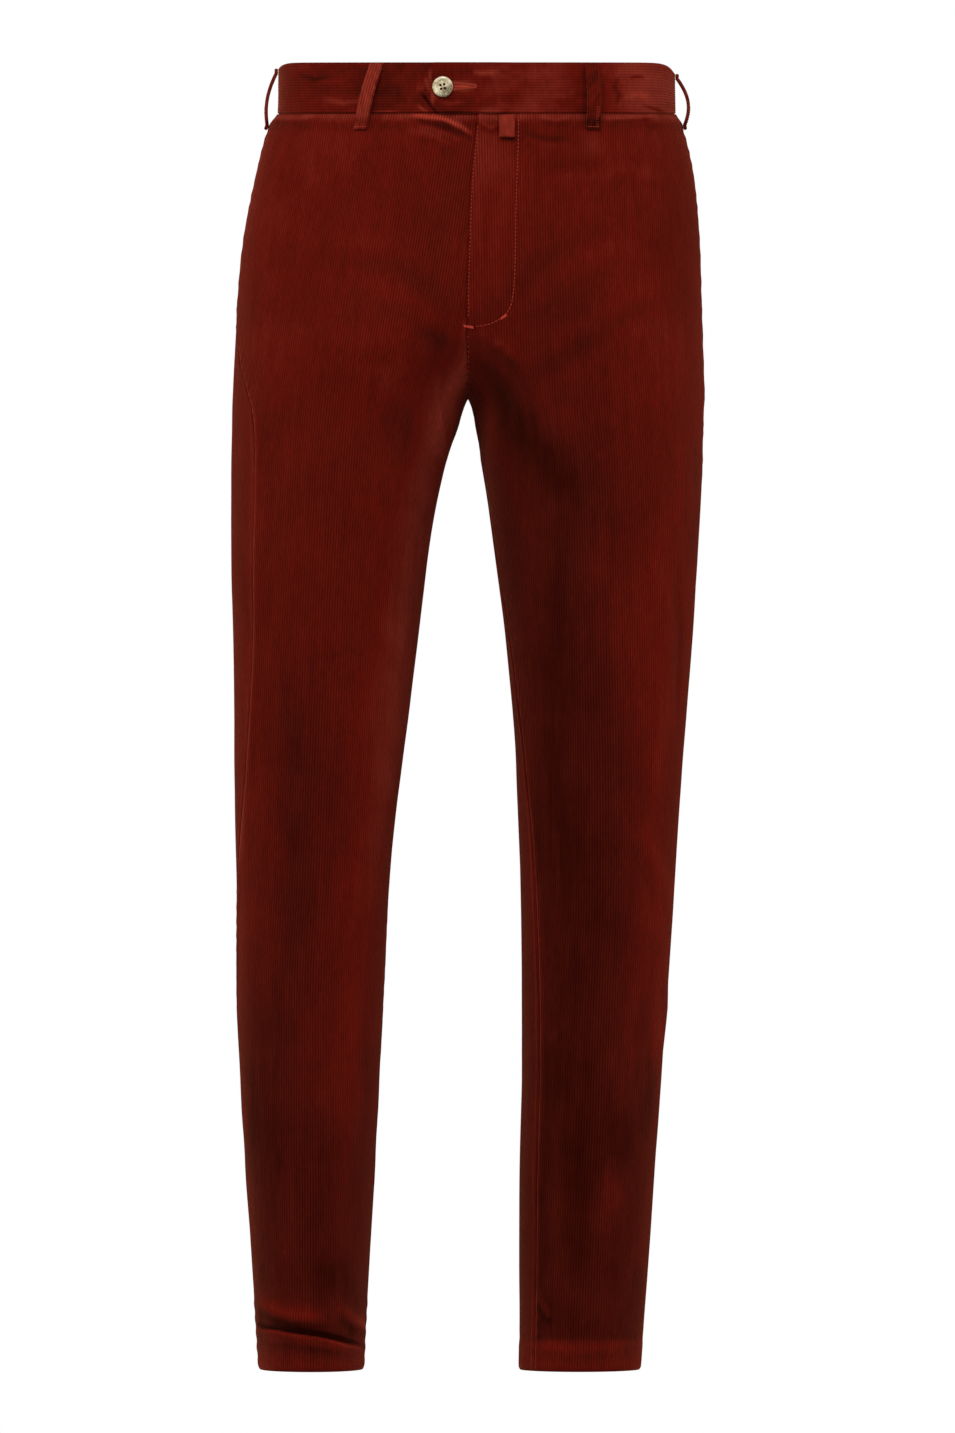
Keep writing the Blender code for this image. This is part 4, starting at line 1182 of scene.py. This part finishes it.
def build_strap(name, side, angle, lean, width, thick, path, nap_and_painted_light, materials):
    """A bent strap with ribs along it and rounded edges; path is (distance out, drop) along its middle."""
    path = np.array(path)
    ahead = np.gradient(path, axis=0)
    ahead /= np.linalg.norm(ahead, axis=1, keepdims=True)
    face_out = np.stack((ahead[:, 1], -ahead[:, 0]), axis=1)
    drops = path[:, 1]
    shares = (drops - drops.min()) / (drops.max() - drops.min()) - 0.5
    ring = strap_ring(thick)
    parts = np.array([part for part, _, _ in ring]) * width
    grid = []
    tones = []
    nap_and_light_rows = []
    for station, ((out, drop), normal, share) in enumerate(zip(path, face_out, shares)):
        squeeze = STRAP_END if station in (0, len(path) - 1) else 1.0
        row = []
        tone = []
        for part, height, phase in ring:
            rib = 0.0
            if height >= thick / 2:
                rib = float(wale_profile(phase, WALE_HEIGHT * STRAP_RIB_SHARE)) - WALE_HEIGHT * 0.4
            height = (height + rib) * squeeze
            place_out, place_drop = (out, drop) + height * normal
            centre, _, along = waist_place(side, angle, place_drop, place_out)
            row.append(centre + along * (lean * share + width * part))
            tone.append(0.45 + rib / WALE_HEIGHT)
        grid.append(row)
        tones.append(tone)
        nap_and_light_rows.append(strap_nap_and_painted_shade(name, angle, width, drop, parts, nap_and_painted_light))
    shell = Shell()
    ids = shell.add_points(np.array(grid), np.array(tones), np.array(nap_and_light_rows))
    add_tube(shell, ids, side < 0)
    return shell.finish(name, materials, with_map=False)


def build_loop(loop, tree, materials):
    """A belt loop, sewn to the band's top edge and below the waist seam and bowed out between."""
    side, angle, lean, head = loop["side"], loop["angle"], loop["lean"], loop["head"]
    thick = LOOP_CLOTH * loop["thick"]
    foot_start = LOOP_FOOT - LOOP_TACK
    middle = (foot_start + LOOP_FOOT) / 2
    seats = [seat_height(tree, side, drop, angle, shift, LOOP_WIDTH) + LOOP_CLEAR + thick / 2
             for drop, shift in ((head + 1, -lean / 2), (foot_start, lean / 2), (middle, lean / 2),
                                 (LOOP_FOOT, lean / 2))]
    top_seat, upper_seat, middle_seat, foot_seat = seats
    swell = max(0.0, middle_seat - (upper_seat + foot_seat) / 2)
    upper_seat += swell
    foot_seat += swell
    path = [(top_seat, head), (top_seat, head + 0.5), (top_seat, head + 2.0)]
    for share in np.linspace(0.0, 1.0, LOOP_STATIONS):
        out = top_seat + (upper_seat - top_seat) * share + loop["bow"] * sin(pi * share) ** 0.9
        path.append((out, head + LOOP_TACK + (foot_start - head - LOOP_TACK) * share))
    path += [((upper_seat + foot_seat) / 2, middle), (foot_seat, LOOP_FOOT - 0.5), (foot_seat, LOOP_FOOT)]
    name = loop["node"] + "_cloth"
    return build_strap(name, side, angle, lean, LOOP_WIDTH, thick, path, loop["tone"], materials)


def build_keeper(tree, materials):
    """The prong keeper: a short strap folded into a flat loop that hangs from the waist seam."""
    seats = [seat_height(tree, 1, drop, KEEPER_ANGLE, 0.0, KEEPER_WIDTH)
             for drop in (KEEPER_HANG, KEEPER_HANG + 8.0, KEEPER_FOOT)]
    lean_out = (seats[2] - seats[0]) / (KEEPER_FOOT - KEEPER_HANG)
    near = max(seats[0], seats[1] - lean_out * 8.0) + LOOP_CLEAR + KEEPER_CLOTH / 2
    far = near + 2 * KEEPER_FOLD
    straight = KEEPER_FOOT - KEEPER_CLOTH / 2 - KEEPER_FOLD
    flat = [(near, drop) for drop in np.linspace(KEEPER_TOP, straight, 9)]
    fold = [(near + KEEPER_FOLD * (1 - cos(turn)), straight + KEEPER_FOLD * sin(turn))
            for turn in np.linspace(0, pi, 9)[1:-1]]
    back_up = np.linspace(straight, KEEPER_TOP, 9)
    rise = [(far + 0.5 * sin(pi * i / 8), drop) for i, drop in enumerate(back_up)]
    path = [(out + lean_out * (drop - KEEPER_HANG), drop) for out, drop in flat + fold + rise]
    return build_strap(KEEPER_NAME, 1, KEEPER_ANGLE, 0.0, KEEPER_WIDTH, KEEPER_CLOTH, path, KEEPER_NAP_AND_HIGHLIGHT,
                       materials)


# ---------------------------------------------------------------- stitches

# A stitch's rings: (share of its length, share of its radius)
STITCH_RINGS = ((0.0, 0.25), (0.1, 0.75), (0.3, 1.0), (0.7, 1.0), (0.9, 0.75), (1.0, 0.25))
STITCH_SIDES = 6


def build_threads(name, runs, radius, rise, material):
    """Short stitches: each run is a start, an end and the way out of the cloth."""
    shell = Shell()
    for start, end, out in runs:
        start, end, out = (np.array(p, float) for p in (start, end, out))
        ahead = (end - start) / np.linalg.norm(end - start)
        cross = np.cross(ahead, out)
        cross /= np.linalg.norm(cross)
        up = np.cross(cross, ahead)
        rings = []
        for t, size in STITCH_RINGS:
            bow = rise * sin(pi * (0.1 + 0.8 * t)) - radius * 0.3
            middle = start + (end - start) * t + up * bow
            rings.append([middle + radius * size * (cross * cos(a) + up * sin(a))
                          for a in turns_round(STITCH_SIDES)])
        add_tube(shell, shell.add_points(np.array(rings), 0.8, 0.0), False)
    return shell.finish(name, [material], with_map=False)


def front_hit(tree, x, drop):
    """The place and way out of the cloth seen from the front at an X and a drop."""
    z = BAND_HEIGHT / 2 - drop
    place, normal, _, _ = tree.ray_cast(Vector((x, -200, z)), Vector((0, 1, 0)))
    if normal.y > 0:
        normal = -normal
    return place, normal


def stitched_line(tree, path, pitch, length):
    """Stitches at an even pitch along a line of (x, drop) places on the front."""
    path = np.array(path, float)
    run = run_along(path)
    runs = []
    for start in np.arange(pitch / 2, run[-1] - length, pitch):
        ends = []
        for at in (start, start + length):
            x = np.interp(at, run, path[:, 0])
            drop = np.interp(at, run, path[:, 1])
            ends.append(front_hit(tree, x, drop))
        out = (ends[0][1] + ends[1][1]).normalized()
        runs.append((ends[0][0], ends[1][0], out * 0.7 + Vector((0, -0.3, 0))))
    return runs


def curve_through(points, count):
    """A smooth line through a few places."""
    points = np.array(points, float)
    run = run_along(points)
    at = np.linspace(0, run[-1], count)
    return np.stack([smooth_curve(run, points[:, i], at) for i in range(2)], axis=1)


# The fly's J-shaped line of stitches, and its bartacks: (from, to, stitches), all as (x, drop)
J_LINE = ((35.0, 46), (34.7, 65), (32.6, 126), (31.9, 172), (29.1, 201), (25.0, 209), (19.5, 214),
          (10.0, 218.4), (-1.5, 220.4))
J_PITCH = 3.2
J_STITCH = 2.3
# Rows along the centre line: (from, to, places, X beside the line, pitch, stitch)
CENTRE_ROWS = ((52.0, 212.0, 60, 1.6, 3.2, 1.5), (226.0, 272.0, 20, 0.9, 4.0, 1.4))
BARTACKS = (((-10.8, 219.6), (-2.6, 221.0), 15), ((20.2, 213.8), (25.0, 210.8), 7))


def fly_stitches(tree):
    runs = stitched_line(tree, curve_through(J_LINE, 60), J_PITCH, J_STITCH)
    for start, end, count, beside, pitch, length in CENTRE_ROWS:
        drops = np.linspace(start, end, count)
        line = np.stack((centre_at(drops) + beside, drops), axis=1)
        runs += stitched_line(tree, line, pitch, length)
    return runs


def bartack_runs(tree):
    """Close stitches side by side at the end of the fly and on its curve."""
    runs = []
    for (x0, d0), (x1, d1), count in BARTACKS:
        for index in range(count):
            t = (index + 0.5) / count
            x = x0 + (x1 - x0) * t
            drop = d0 + (d1 - d0) * t
            a, normal = front_hit(tree, x - 0.25, drop - 1.1)
            b, _ = front_hit(tree, x + 0.25, drop + 1.1)
            runs.append((a, b, normal))
    return runs


def strap_stitches(tree, loop):
    """Two short columns of stitches down a loop's foot, and a row across its end."""
    drops = np.arange(LOOP_FOOT - LOOP_STITCHED, LOOP_FOOT - 1.5, 2.0)
    spots = [((part, drop), (part, drop + 1.2)) for part in LOOP_STITCH_LINES for drop in drops]
    low = LOOP_FOOT - 2.2
    spots += [((part, low), (part + 0.13, low)) for part in np.linspace(-0.42, 0.27, 5)]
    runs = []
    for spot in spots:
        ends = []
        for part, drop in spot:
            share = (drop - loop["head"]) / (LOOP_FOOT - loop["head"]) - 0.5
            base, way, along = waist_place(loop["side"], loop["angle"], drop)
            start = base + along * (loop["lean"] * share + LOOP_WIDTH * part) + way * 40
            ends.append(tree.ray_cast(start, -way)[0])
        runs.append((ends[0], ends[1], way))
    return runs


# The buttonhole's drop, the X of its ends and of its eye's middle, and its stitches' pitch
HOLE_DROP = 20.2
HOLE_START = -19.0
HOLE_END = -1.2
HOLE_EYE = -1.4
HOLE_PITCH = 0.62


def buttonhole_runs(tree):
    """Close stitches on both lips of the buttonhole, from under the button to its far end."""
    places = []
    for lip in (-1, 1):
        for x in np.arange(HOLE_START, HOLE_END, HOLE_PITCH):
            share = (x - HOLE_START) / (HOLE_END - HOLE_START)
            inner = lip * (0.35 + 1.3 * (1 - share) ** 1.5)
            outer = lip * (2.0 + 2.0 * (1 - share) ** 1.2)
            places.append((x, inner, x + 0.25, outer))
    for turn in np.radians(np.linspace(-70, 70, 7)):
        ahead, aside = cos(turn), sin(turn)
        places.append((HOLE_EYE + 0.2 * ahead, 0.35 * aside, HOLE_EYE + 1.9 * ahead, 1.9 * aside))
    runs = []
    for x, inner, far_x, outer in places:
        start, normal = front_hit(tree, x, HOLE_DROP + inner)
        end, _ = front_hit(tree, far_x, HOLE_DROP + outer)
        runs.append((start, end, normal))
    return runs


# ---------------------------------------------------------------- button

CUTTER_REACH = 6
THREAD_SPAN = 0.6


def hole_places():
    """Where the button's four thread holes are on its face."""
    turns = [radians(45 + HOLE_TURN + 90 * index) for index in range(4)]
    return [(HOLE_SPREAD * cos(turn), HOLE_SPREAD * sin(turn)) for turn in turns]


def button_profile():
    """Half of the button's section, as (distance from its axis, height)."""
    half = BUTTON_THICK / 2
    dish = half - BUTTON_DISH
    profile = [(0.0, dish), (HOLE_SPREAD + HOLE_RADIUS * 1.6, dish)]
    profile += [(BUTTON_RADIUS - 2 * BUTTON_RIM - 0.4, dish + 0.02)]
    rim = BUTTON_RADIUS - BUTTON_RIM
    profile += [(rim - BUTTON_RIM * cos(turn) * 0.75, half - BUTTON_DISH * (1 - sin(turn)))
                for turn in np.linspace(0.1, pi / 2, 7)]
    profile += [(BUTTON_RADIUS - half * 0.7 * (1 - cos(turn)), half * sin(turn))
                for turn in np.linspace(pi / 2, -pi / 2, 13)[1:]]
    return profile + [(0.0, -half)]


def build_button(material):
    """A turned four-hole button with a raised rim."""
    low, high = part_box("button")
    middle = (Vector(low) + Vector(high)) / 2
    _, way, across = waist_place(1, front_angle(abs(BUTTON_X)), BUTTON_DROP)
    profile = button_profile()
    mesh = bpy.data.meshes.new("button_turned")
    edges = [(i, i + 1) for i in range(len(profile) - 1)]
    mesh.from_pydata([(x * MM, 0.0, z * MM) for x, z in profile], edges, [])
    mesh.materials.append(material)
    button = add_object("button_turned", mesh)
    turned = Matrix((across, Vector((0, 0, 1)), way)).transposed().to_4x4()
    button.matrix_world = Matrix.Translation(middle) @ turned
    screw = button.modifiers.new("turned", "SCREW")
    screw.axis = "Z"
    screw.steps = 72
    screw.render_steps = 72
    screw.use_merge_vertices = True
    screw.merge_threshold = 0.00001
    screw.use_normal_calculate = True
    cutters = [hole_cutter(button, x, y) for x, y in hole_places()]
    graph = bpy.context.evaluated_depsgraph_get()
    cut = bpy.data.meshes.new_from_object(button.evaluated_get(graph))
    button.modifiers.clear()
    button.data = cut
    for cutter in cutters:
        bpy.data.objects.remove(cutter, do_unlink=True)
    cut.shade_smooth()
    cut.set_sharp_from_angle(angle=radians(SHARP_BUTTON))
    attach(button, "root")
    return button, middle / MM, way, across


def hole_cutter(button, x, y):
    """Bores one thread hole through the button."""
    ring = [(x + HOLE_RADIUS * cos(a), y + HOLE_RADIUS * sin(a)) for a in turns_round(24)]
    points = [(px * MM, py * MM, z * MM) for z in (-CUTTER_REACH, CUTTER_REACH) for px, py in ring]
    count = len(ring)
    faces = [list(range(count))[::-1], list(range(count, 2 * count))]
    faces += [[i, (i + 1) % count, count + (i + 1) % count, count + i] for i in range(count)]
    mesh = bpy.data.meshes.new("hole_cutter")
    mesh.from_pydata(points, [], faces)
    cutter = add_object("hole_cutter", mesh)
    cutter.matrix_world = button.matrix_world
    cut = button.modifiers.new("hole", "BOOLEAN")
    cut.operation = "DIFFERENCE"
    cut.object = cutter
    cut.solver = "EXACT"
    return cutter


def button_thread_runs(middle, way, across):
    """Thread in each hole, coloured near black as painted shade inside the hole, and one pale strand between
    each pair.
    """
    up = Vector((0, 0, 1))
    floor = BUTTON_THICK / 2 - BUTTON_DISH
    holes = [Vector(middle) + across * x + up * y + way * floor for x, y in hole_places()]
    shade_fills = []
    for hole in holes:
        for shift in (-0.3, 0.0, 0.3):
            low = hole + up * shift - way * 0.7
            shade_fills.append((low - across * THREAD_SPAN, low + across * THREAD_SPAN, way))
    strands = [(holes[a] * 0.75 + holes[b] * 0.25, holes[a] * 0.25 + holes[b] * 0.75, way)
               for a, b in ((0, 2), (1, 3))]
    return shade_fills, strands


# ---------------------------------------------------------------- materials

class Nodes:
    """Short ways to add and link a material's nodes."""

    def __init__(self, name):
        self.material = bpy.data.materials.new(name)
        self.material.use_nodes = True
        self.tree = self.material.node_tree
        self.shader = self.tree.nodes["Principled BSDF"]

    def put(self, node, **sockets):
        """Sets a node's sockets, by name or as at0 by place, to a value or links them to an output."""
        for key, value in sockets.items():
            socket = node.inputs[int(key[2:]) if key.startswith("at") else key.replace("_", " ")]
            if isinstance(value, bpy.types.NodeSocket):
                self.tree.links.new(value, socket)
            else:
                socket.default_value = value
        return node

    def add(self, kind, **sockets):
        return self.put(self.tree.nodes.new("ShaderNode" + kind), **sockets)

    def shade(self, **sockets):
        self.put(self.shader, **sockets)

    def coordinates(self, scale):
        place = self.add("TexCoord").outputs["Object"]
        return self.add("Mapping", Scale=scale, Vector=place).outputs["Vector"]

    def noise(self, scale, detail, stretch=(1, 1, 1), roughness=0.55):
        texture = self.add("TexNoise", Scale=scale, Detail=detail, Roughness=roughness)
        return self.put(texture, Vector=self.coordinates(stretch)).outputs["Fac"]

    def attribute(self, name):
        node = self.add("Attribute")
        node.attribute_name = name
        return node.outputs["Fac"]

    def spread(self, value, low, high, to_low, to_high):
        node = self.add("MapRange", From_Min=low, From_Max=high, To_Min=to_low, To_Max=to_high, Value=value)
        return node.outputs["Result"]

    def math(self, operation, first, second):
        node = self.add("Math", at0=first, at1=second)
        node.operation = operation
        return node.outputs["Value"]

    def mix(self, factor, first, second):
        node = self.add("Mix")
        node.data_type = "RGBA"
        return self.put(node, at0=factor, at6=first, at7=second).outputs[2]

    def scaled(self, colour, value):
        node = self.add("VectorMath")
        node.operation = "SCALE"
        return self.put(node, at0=colour, Scale=value).outputs["Vector"]

    def bump(self, height, strength, distance):
        node = self.add("Bump", Strength=strength, Distance=distance, Height=height)
        self.shade(Normal=node.outputs["Normal"])


# The groove's darkness is partly painted shade; the brushed colour stands partly for painted sheen where the
# tone is lighter, and the shaded colour for painted shade where it is darker
GROOVE_AND_SHADE_COLOUR = (0.074, 0.0046, 0.0025, 1.0)
CROWN_COLOUR = (0.150, 0.0084, 0.0042, 1.0)
SHADED_COLOUR = (0.146, 0.0150, 0.0076, 1.0)
BACKING_COLOUR = (0.085, 0.0090, 0.0050, 1.0)
BRUSHED_AND_SHEEN_COLOUR = (0.160, 0.0200, 0.0112, 1.0)
SHEEN_TINT = (1.0, 0.28, 0.16, 1.0)

# Threads: (name, brighter colour, deeper colour, sheen)
THREADS = {
    "seam": ("seam_thread", (0.56, 0.060, 0.032, 1.0), (0.24, 0.018, 0.007, 1.0), 0.2),
    "bartack": ("bartack_thread", (0.66, 0.065, 0.040, 1.0), (0.50, 0.045, 0.028, 1.0), 0.2),
    "hole": ("buttonhole_thread", (0.36, 0.045, 0.022, 1.0), (0.24, 0.018, 0.007, 1.0), 0.3),
    # The thread in the button's holes is near black as painted shade inside them
    "hole_shade": ("button_hole_painted_shade_thread", (0.06, 0.014, 0.007, 1.0), (0.02, 0.005, 0.003, 1.0), 0.0),
    "pale": ("button_sewing_thread", (0.60, 0.47, 0.31, 1.0), (0.42, 0.30, 0.18, 1.0), 0.1),
}


def corduroy_material(node, sheen):
    """Ribbed pile: grooves darker, partly as painted shade, lighter worn crowns, nap that lies unevenly with
    painted light and shade in its tone, and a soft sheen.
    """
    nodes = Nodes(node + "_corduroy_pile")
    wale = nodes.spread(nodes.attribute("wale"), 0.0, 1.0, 0.0, 1.0)
    brushed_and_sheen = nodes.spread(nodes.attribute("nap_and_painted_light"), 0.0, 0.5, 0.0, 1.0)
    shaded = nodes.spread(nodes.attribute("nap_and_painted_light"), -0.5, 0.0, 1.0, 0.0)
    crown = nodes.mix(shaded, nodes.mix(brushed_and_sheen, CROWN_COLOUR, BRUSHED_AND_SHEEN_COLOUR), SHADED_COLOUR)
    colour = nodes.mix(wale, GROOVE_AND_SHADE_COLOUR, crown)
    broad = nodes.spread(nodes.noise(11.0, 2.0), 0.3, 0.7, 0.90, 1.10)
    mottle = nodes.spread(nodes.noise(420.0, 3.0, (1, 1, 0.3), 0.6), 0.3, 0.7, 0.86, 1.14)
    speck = nodes.spread(nodes.noise(1100.0, 2.0), 0.3, 0.7, 0.88, 1.12)
    # The nap attribute's tone holds painted light and shade as well as the nap
    tone = nodes.math("ADD", nodes.attribute("nap_and_painted_light"), 1.0)
    tone = nodes.math("MAXIMUM", tone, 0.12)
    tone = nodes.math("MULTIPLY", tone, broad)
    tone = nodes.math("MULTIPLY", tone, mottle)
    tone = nodes.math("MULTIPLY", tone, speck)
    rough = nodes.spread(nodes.noise(260.0, 2.0), 0.3, 0.7, 0.72, 0.92)
    nodes.shade(Base_Color=nodes.scaled(colour, tone), Roughness=rough, Specular_IOR_Level=0.0)
    nodes.shade(Sheen_Weight=sheen, Sheen_Roughness=0.35, Sheen_Tint=SHEEN_TINT)
    nodes.bump(nodes.noise(1500.0, 3.0, (1, 1, 0.5)), 0.55, 0.00025)
    return nodes.material


def backing_material(name):
    """The flat woven inside of the cloth."""
    nodes = Nodes(name)
    weave = nodes.noise(900.0, 2.0, (1, 1, 2.2))
    shade = nodes.spread(weave, 0.3, 0.7, 0.75, 1.2)
    broad = nodes.spread(nodes.noise(14.0, 2.0), 0.3, 0.7, 0.9, 1.1)
    base = nodes.mix(nodes.noise(500.0, 1.0), BACKING_COLOUR, CROWN_COLOUR)
    base = nodes.scaled(base, nodes.math("MULTIPLY", shade, broad))
    nodes.shade(Base_Color=base, Roughness=0.92, Specular_IOR_Level=0.2)
    nodes.bump(weave, 0.4, 0.0002)
    return nodes.material


def thread_material(name, bright, deep, sheen):
    nodes = Nodes(name)
    twist = nodes.noise(2400.0, 2.0)
    nodes.shade(Base_Color=nodes.mix(twist, deep, bright), Roughness=0.6, Specular_IOR_Level=0.12)
    nodes.shade(Sheen_Weight=sheen, Sheen_Roughness=0.4, Sheen_Tint=SHEEN_TINT)
    nodes.bump(twist, 0.4, 0.0001)
    return nodes.material


HORN_PALE = (0.93, 0.81, 0.55, 1.0)
HORN_BROWN = (0.10, 0.070, 0.022, 1.0)
HORN_CLOUD = (0.46, 0.36, 0.20, 1.0)
STAIN_WAY = (0.62, -0.78)
STAIN_FROM = 0.0006
STAIN_TO = 0.0042


def button_material():
    """Ivory horn with soft clouds, browner towards one side of its face."""
    nodes = Nodes("button_horn_mottled")
    cloud = nodes.spread(nodes.noise(260.0, 3.0), 0.40, 0.62, 0.0, 1.0)
    fine = nodes.spread(nodes.noise(900.0, 2.0), 0.35, 0.65, 0.0, 1.0)
    colour = nodes.mix(cloud, HORN_PALE, HORN_CLOUD)
    apart = nodes.add("SeparateXYZ", at0=nodes.coordinates((1, 1, 1)))
    side = nodes.math("ADD", nodes.math("MULTIPLY", apart.outputs[0], STAIN_WAY[0]),
                      nodes.math("MULTIPLY", apart.outputs[1], STAIN_WAY[1]))
    stain = nodes.spread(side, STAIN_FROM, STAIN_TO, 0.0, 1.0)
    stain = nodes.math("MULTIPLY", stain, nodes.spread(fine, 0.0, 1.0, 0.45, 1.0))
    rough = nodes.spread(cloud, 0.0, 1.0, 0.24, 0.40)
    nodes.shade(Base_Color=nodes.mix(stain, colour, HORN_BROWN), Roughness=rough)
    nodes.shade(Coat_Weight=0.5, Coat_Roughness=0.12)
    nodes.bump(nodes.noise(500.0, 2.0), 0.15, 0.0001)
    return nodes.material


FLOOR_DULL = (0.80, 0.80, 0.80, 1.0)
FLOOR_PALE = (0.92, 0.92, 0.92, 1.0)


def floor_material():
    nodes = Nodes("studio_floor")
    grain = nodes.spread(nodes.noise(4.0, 2.0), 0.3, 0.7, 0.86, 0.9)
    nodes.shade(Base_Color=nodes.mix(grain, FLOOR_DULL, FLOOR_PALE), Roughness=0.8)
    return nodes.material


# ---------------------------------------------------------------- studio

CAMERA_AWAY = 16.0
FRAME_HEIGHT = 1.2000
CAMERA_X = 0.0008
CAMERA_Z = -0.5230
SENSOR = 36.0
FLOOR_GAP = 0.10
FLOOR_HALF = (1.6, 0.75)

LIGHT_COLUMNS = ("name", "place", "aim", "size", "power")
LIGHTS = (
    ("key_top", (-0.4, -2.0, 1.6), (0.0, 0.0, -0.25), (1.4, 0.8), 36.0),
    ("front_low", (1.7, -2.1, -0.3), (-0.1, 0.0, -0.45), (0.6, 1.2), 12.0),
    ("side_right", (2.3, -0.5, 0.5), (0.1, 0.0, -0.3), (0.7, 1.8), 15.0),
    ("side_left", (-2.3, -0.5, 0.4), (-0.1, 0.0, -0.3), (0.7, 1.8), 20.0),
    ("back_fill", (0.0, 2.4, 1.2), (0.0, 0.0, -0.3), (1.8, 1.2), 30.0),
)


def add_camera():
    data = bpy.data.cameras.new("camera")
    data.sensor_width = SENSOR
    data.lens = SENSOR * CAMERA_AWAY / FRAME_HEIGHT
    data.clip_end = 100.0
    camera = add_object("camera", data)
    camera.location = (CAMERA_X, -CAMERA_AWAY, CAMERA_Z)
    camera.rotation_euler = (pi / 2, 0.0, 0.0)
    bpy.context.scene.camera = camera


def add_lights():
    for light in rows_of(LIGHT_COLUMNS, LIGHTS):
        data = bpy.data.lights.new(light["name"], "AREA")
        data.shape = "RECTANGLE"
        data.size, data.size_y = light["size"]
        data.energy = light["power"]
        lamp = add_object(light["name"], data)
        lamp.location = light["place"]
        away = Vector(light["place"]) - Vector(light["aim"])
        lamp.rotation_euler = away.to_track_quat("Z", "Y").to_euler()


WORLD_SEEN = 1.0
WORLD_LIGHT = 0.24


def add_world():
    """White all round; what the camera sees of it is brighter than the light that it gives."""
    world = bpy.data.worlds.new("studio")
    world.use_nodes = True
    tree = world.node_tree
    ground = tree.nodes["Background"]
    ground.inputs["Color"].default_value = (1.0, 1.0, 1.0, 1.0)
    path = tree.nodes.new("ShaderNodeLightPath")
    spread = tree.nodes.new("ShaderNodeMapRange")
    spread.inputs["To Min"].default_value = WORLD_LIGHT
    spread.inputs["To Max"].default_value = WORLD_SEEN
    tree.links.new(path.outputs["Is Camera Ray"], spread.inputs["Value"])
    tree.links.new(spread.outputs["Result"], ground.inputs["Strength"])
    bpy.context.scene.world = world
    bpy.context.scene.view_settings.view_transform = "Standard"


def add_floor():
    level = cad_box[0][2] - FLOOR_GAP
    half_x, half_y = FLOOR_HALF
    mesh = bpy.data.meshes.new("floor")
    corners = [(x * half_x, y * half_y, level) for x, y in ((-1, -1), (1, -1), (1, 1), (-1, 1))]
    mesh.from_pydata(corners, [], [(0, 1, 2, 3)])
    mesh.materials.append(floor_material())
    add_object("floor", mesh)


# ---------------------------------------------------------------- put together

PANEL_SHEEN = 0.34
BAND_SHEEN = 0.42
STRAP_SHEEN = 0.4


def build_cloth():
    """Panels and bands, built in place of the part's own; the flat size of each cut is worked out but not
    used.
    """
    pieces = {}
    for side, word in ((-1, "right"), (1, "left")):
        for face, part in ((1, "front"), (-1, "back")):
            node = f"{part}_{word}"
            materials = [corduroy_material(node, PANEL_SHEEN), backing_material(node + "_backing")]
            piece = build_panel(node + "_cloth", side, face, materials)
            width, length, area = panel_cut(side, face)
            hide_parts(node)
            pieces[node] = piece
        node = f"waistband_{word}"
        materials = [corduroy_material(node, BAND_SHEEN), backing_material(node + "_backing")]
        piece = build_band(node + "_cloth", side, materials)
        angles, _ = band_columns(side, BAND_HEIGHT / 2)
        length = run_along(section_point(side, np.full_like(angles, BAND_HEIGHT / 2), angles))[-1]
        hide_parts(node)
        pieces[node] = piece
    return pieces


def build_straps(tree):
    """Belt loops and the prong keeper, laid on the cloth under them."""
    straps = []
    for loop in rows_of(LOOP_COLUMNS, LOOPS):
        strap = build_loop(loop, tree, [corduroy_material(loop["node"], STRAP_SHEEN)])
        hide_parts(loop["node"])
        straps.append(strap)
    keeper = build_keeper(tree, [corduroy_material("prong_keeper", STRAP_SHEEN)])
    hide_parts("prong_keeper")
    return straps + [keeper]


def build_details(pieces):
    tree = cloth_tree(pieces.values())
    strap_tree = cloth_tree(build_straps(tree))
    seam_thread = thread_material(*THREADS["seam"])
    bartack_thread = thread_material(*THREADS["bartack"])
    hole_thread = thread_material(*THREADS["hole"])
    build_threads("fly_stitches", fly_stitches(tree), 0.34, 0.35, seam_thread)
    build_threads("fly_bartack", bartack_runs(tree), 0.36, 0.55, bartack_thread)
    build_threads("buttonhole_stitches", buttonhole_runs(tree), 0.34, 0.45, hole_thread)
    loop_runs = [run for loop in rows_of(LOOP_COLUMNS, LOOPS) for run in strap_stitches(strap_tree, loop)]
    build_threads("loop_stitches", loop_runs, 0.26, 0.3, seam_thread)
    button, middle, way, across = build_button(button_material())
    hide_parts("button")
    shade_fills, strands = button_thread_runs(middle, way, across)
    # Near-black thread sunk in the holes stands for the painted shade inside them
    build_threads("button_hole_shade_thread", shade_fills, 0.34, 0.1, thread_material(*THREADS["hole_shade"]))
    build_threads("button_thread", strands, 0.26, 0.35, thread_material(*THREADS["pale"]))


add_camera()
add_world()
add_lights()
add_floor()
build_details(build_cloth())
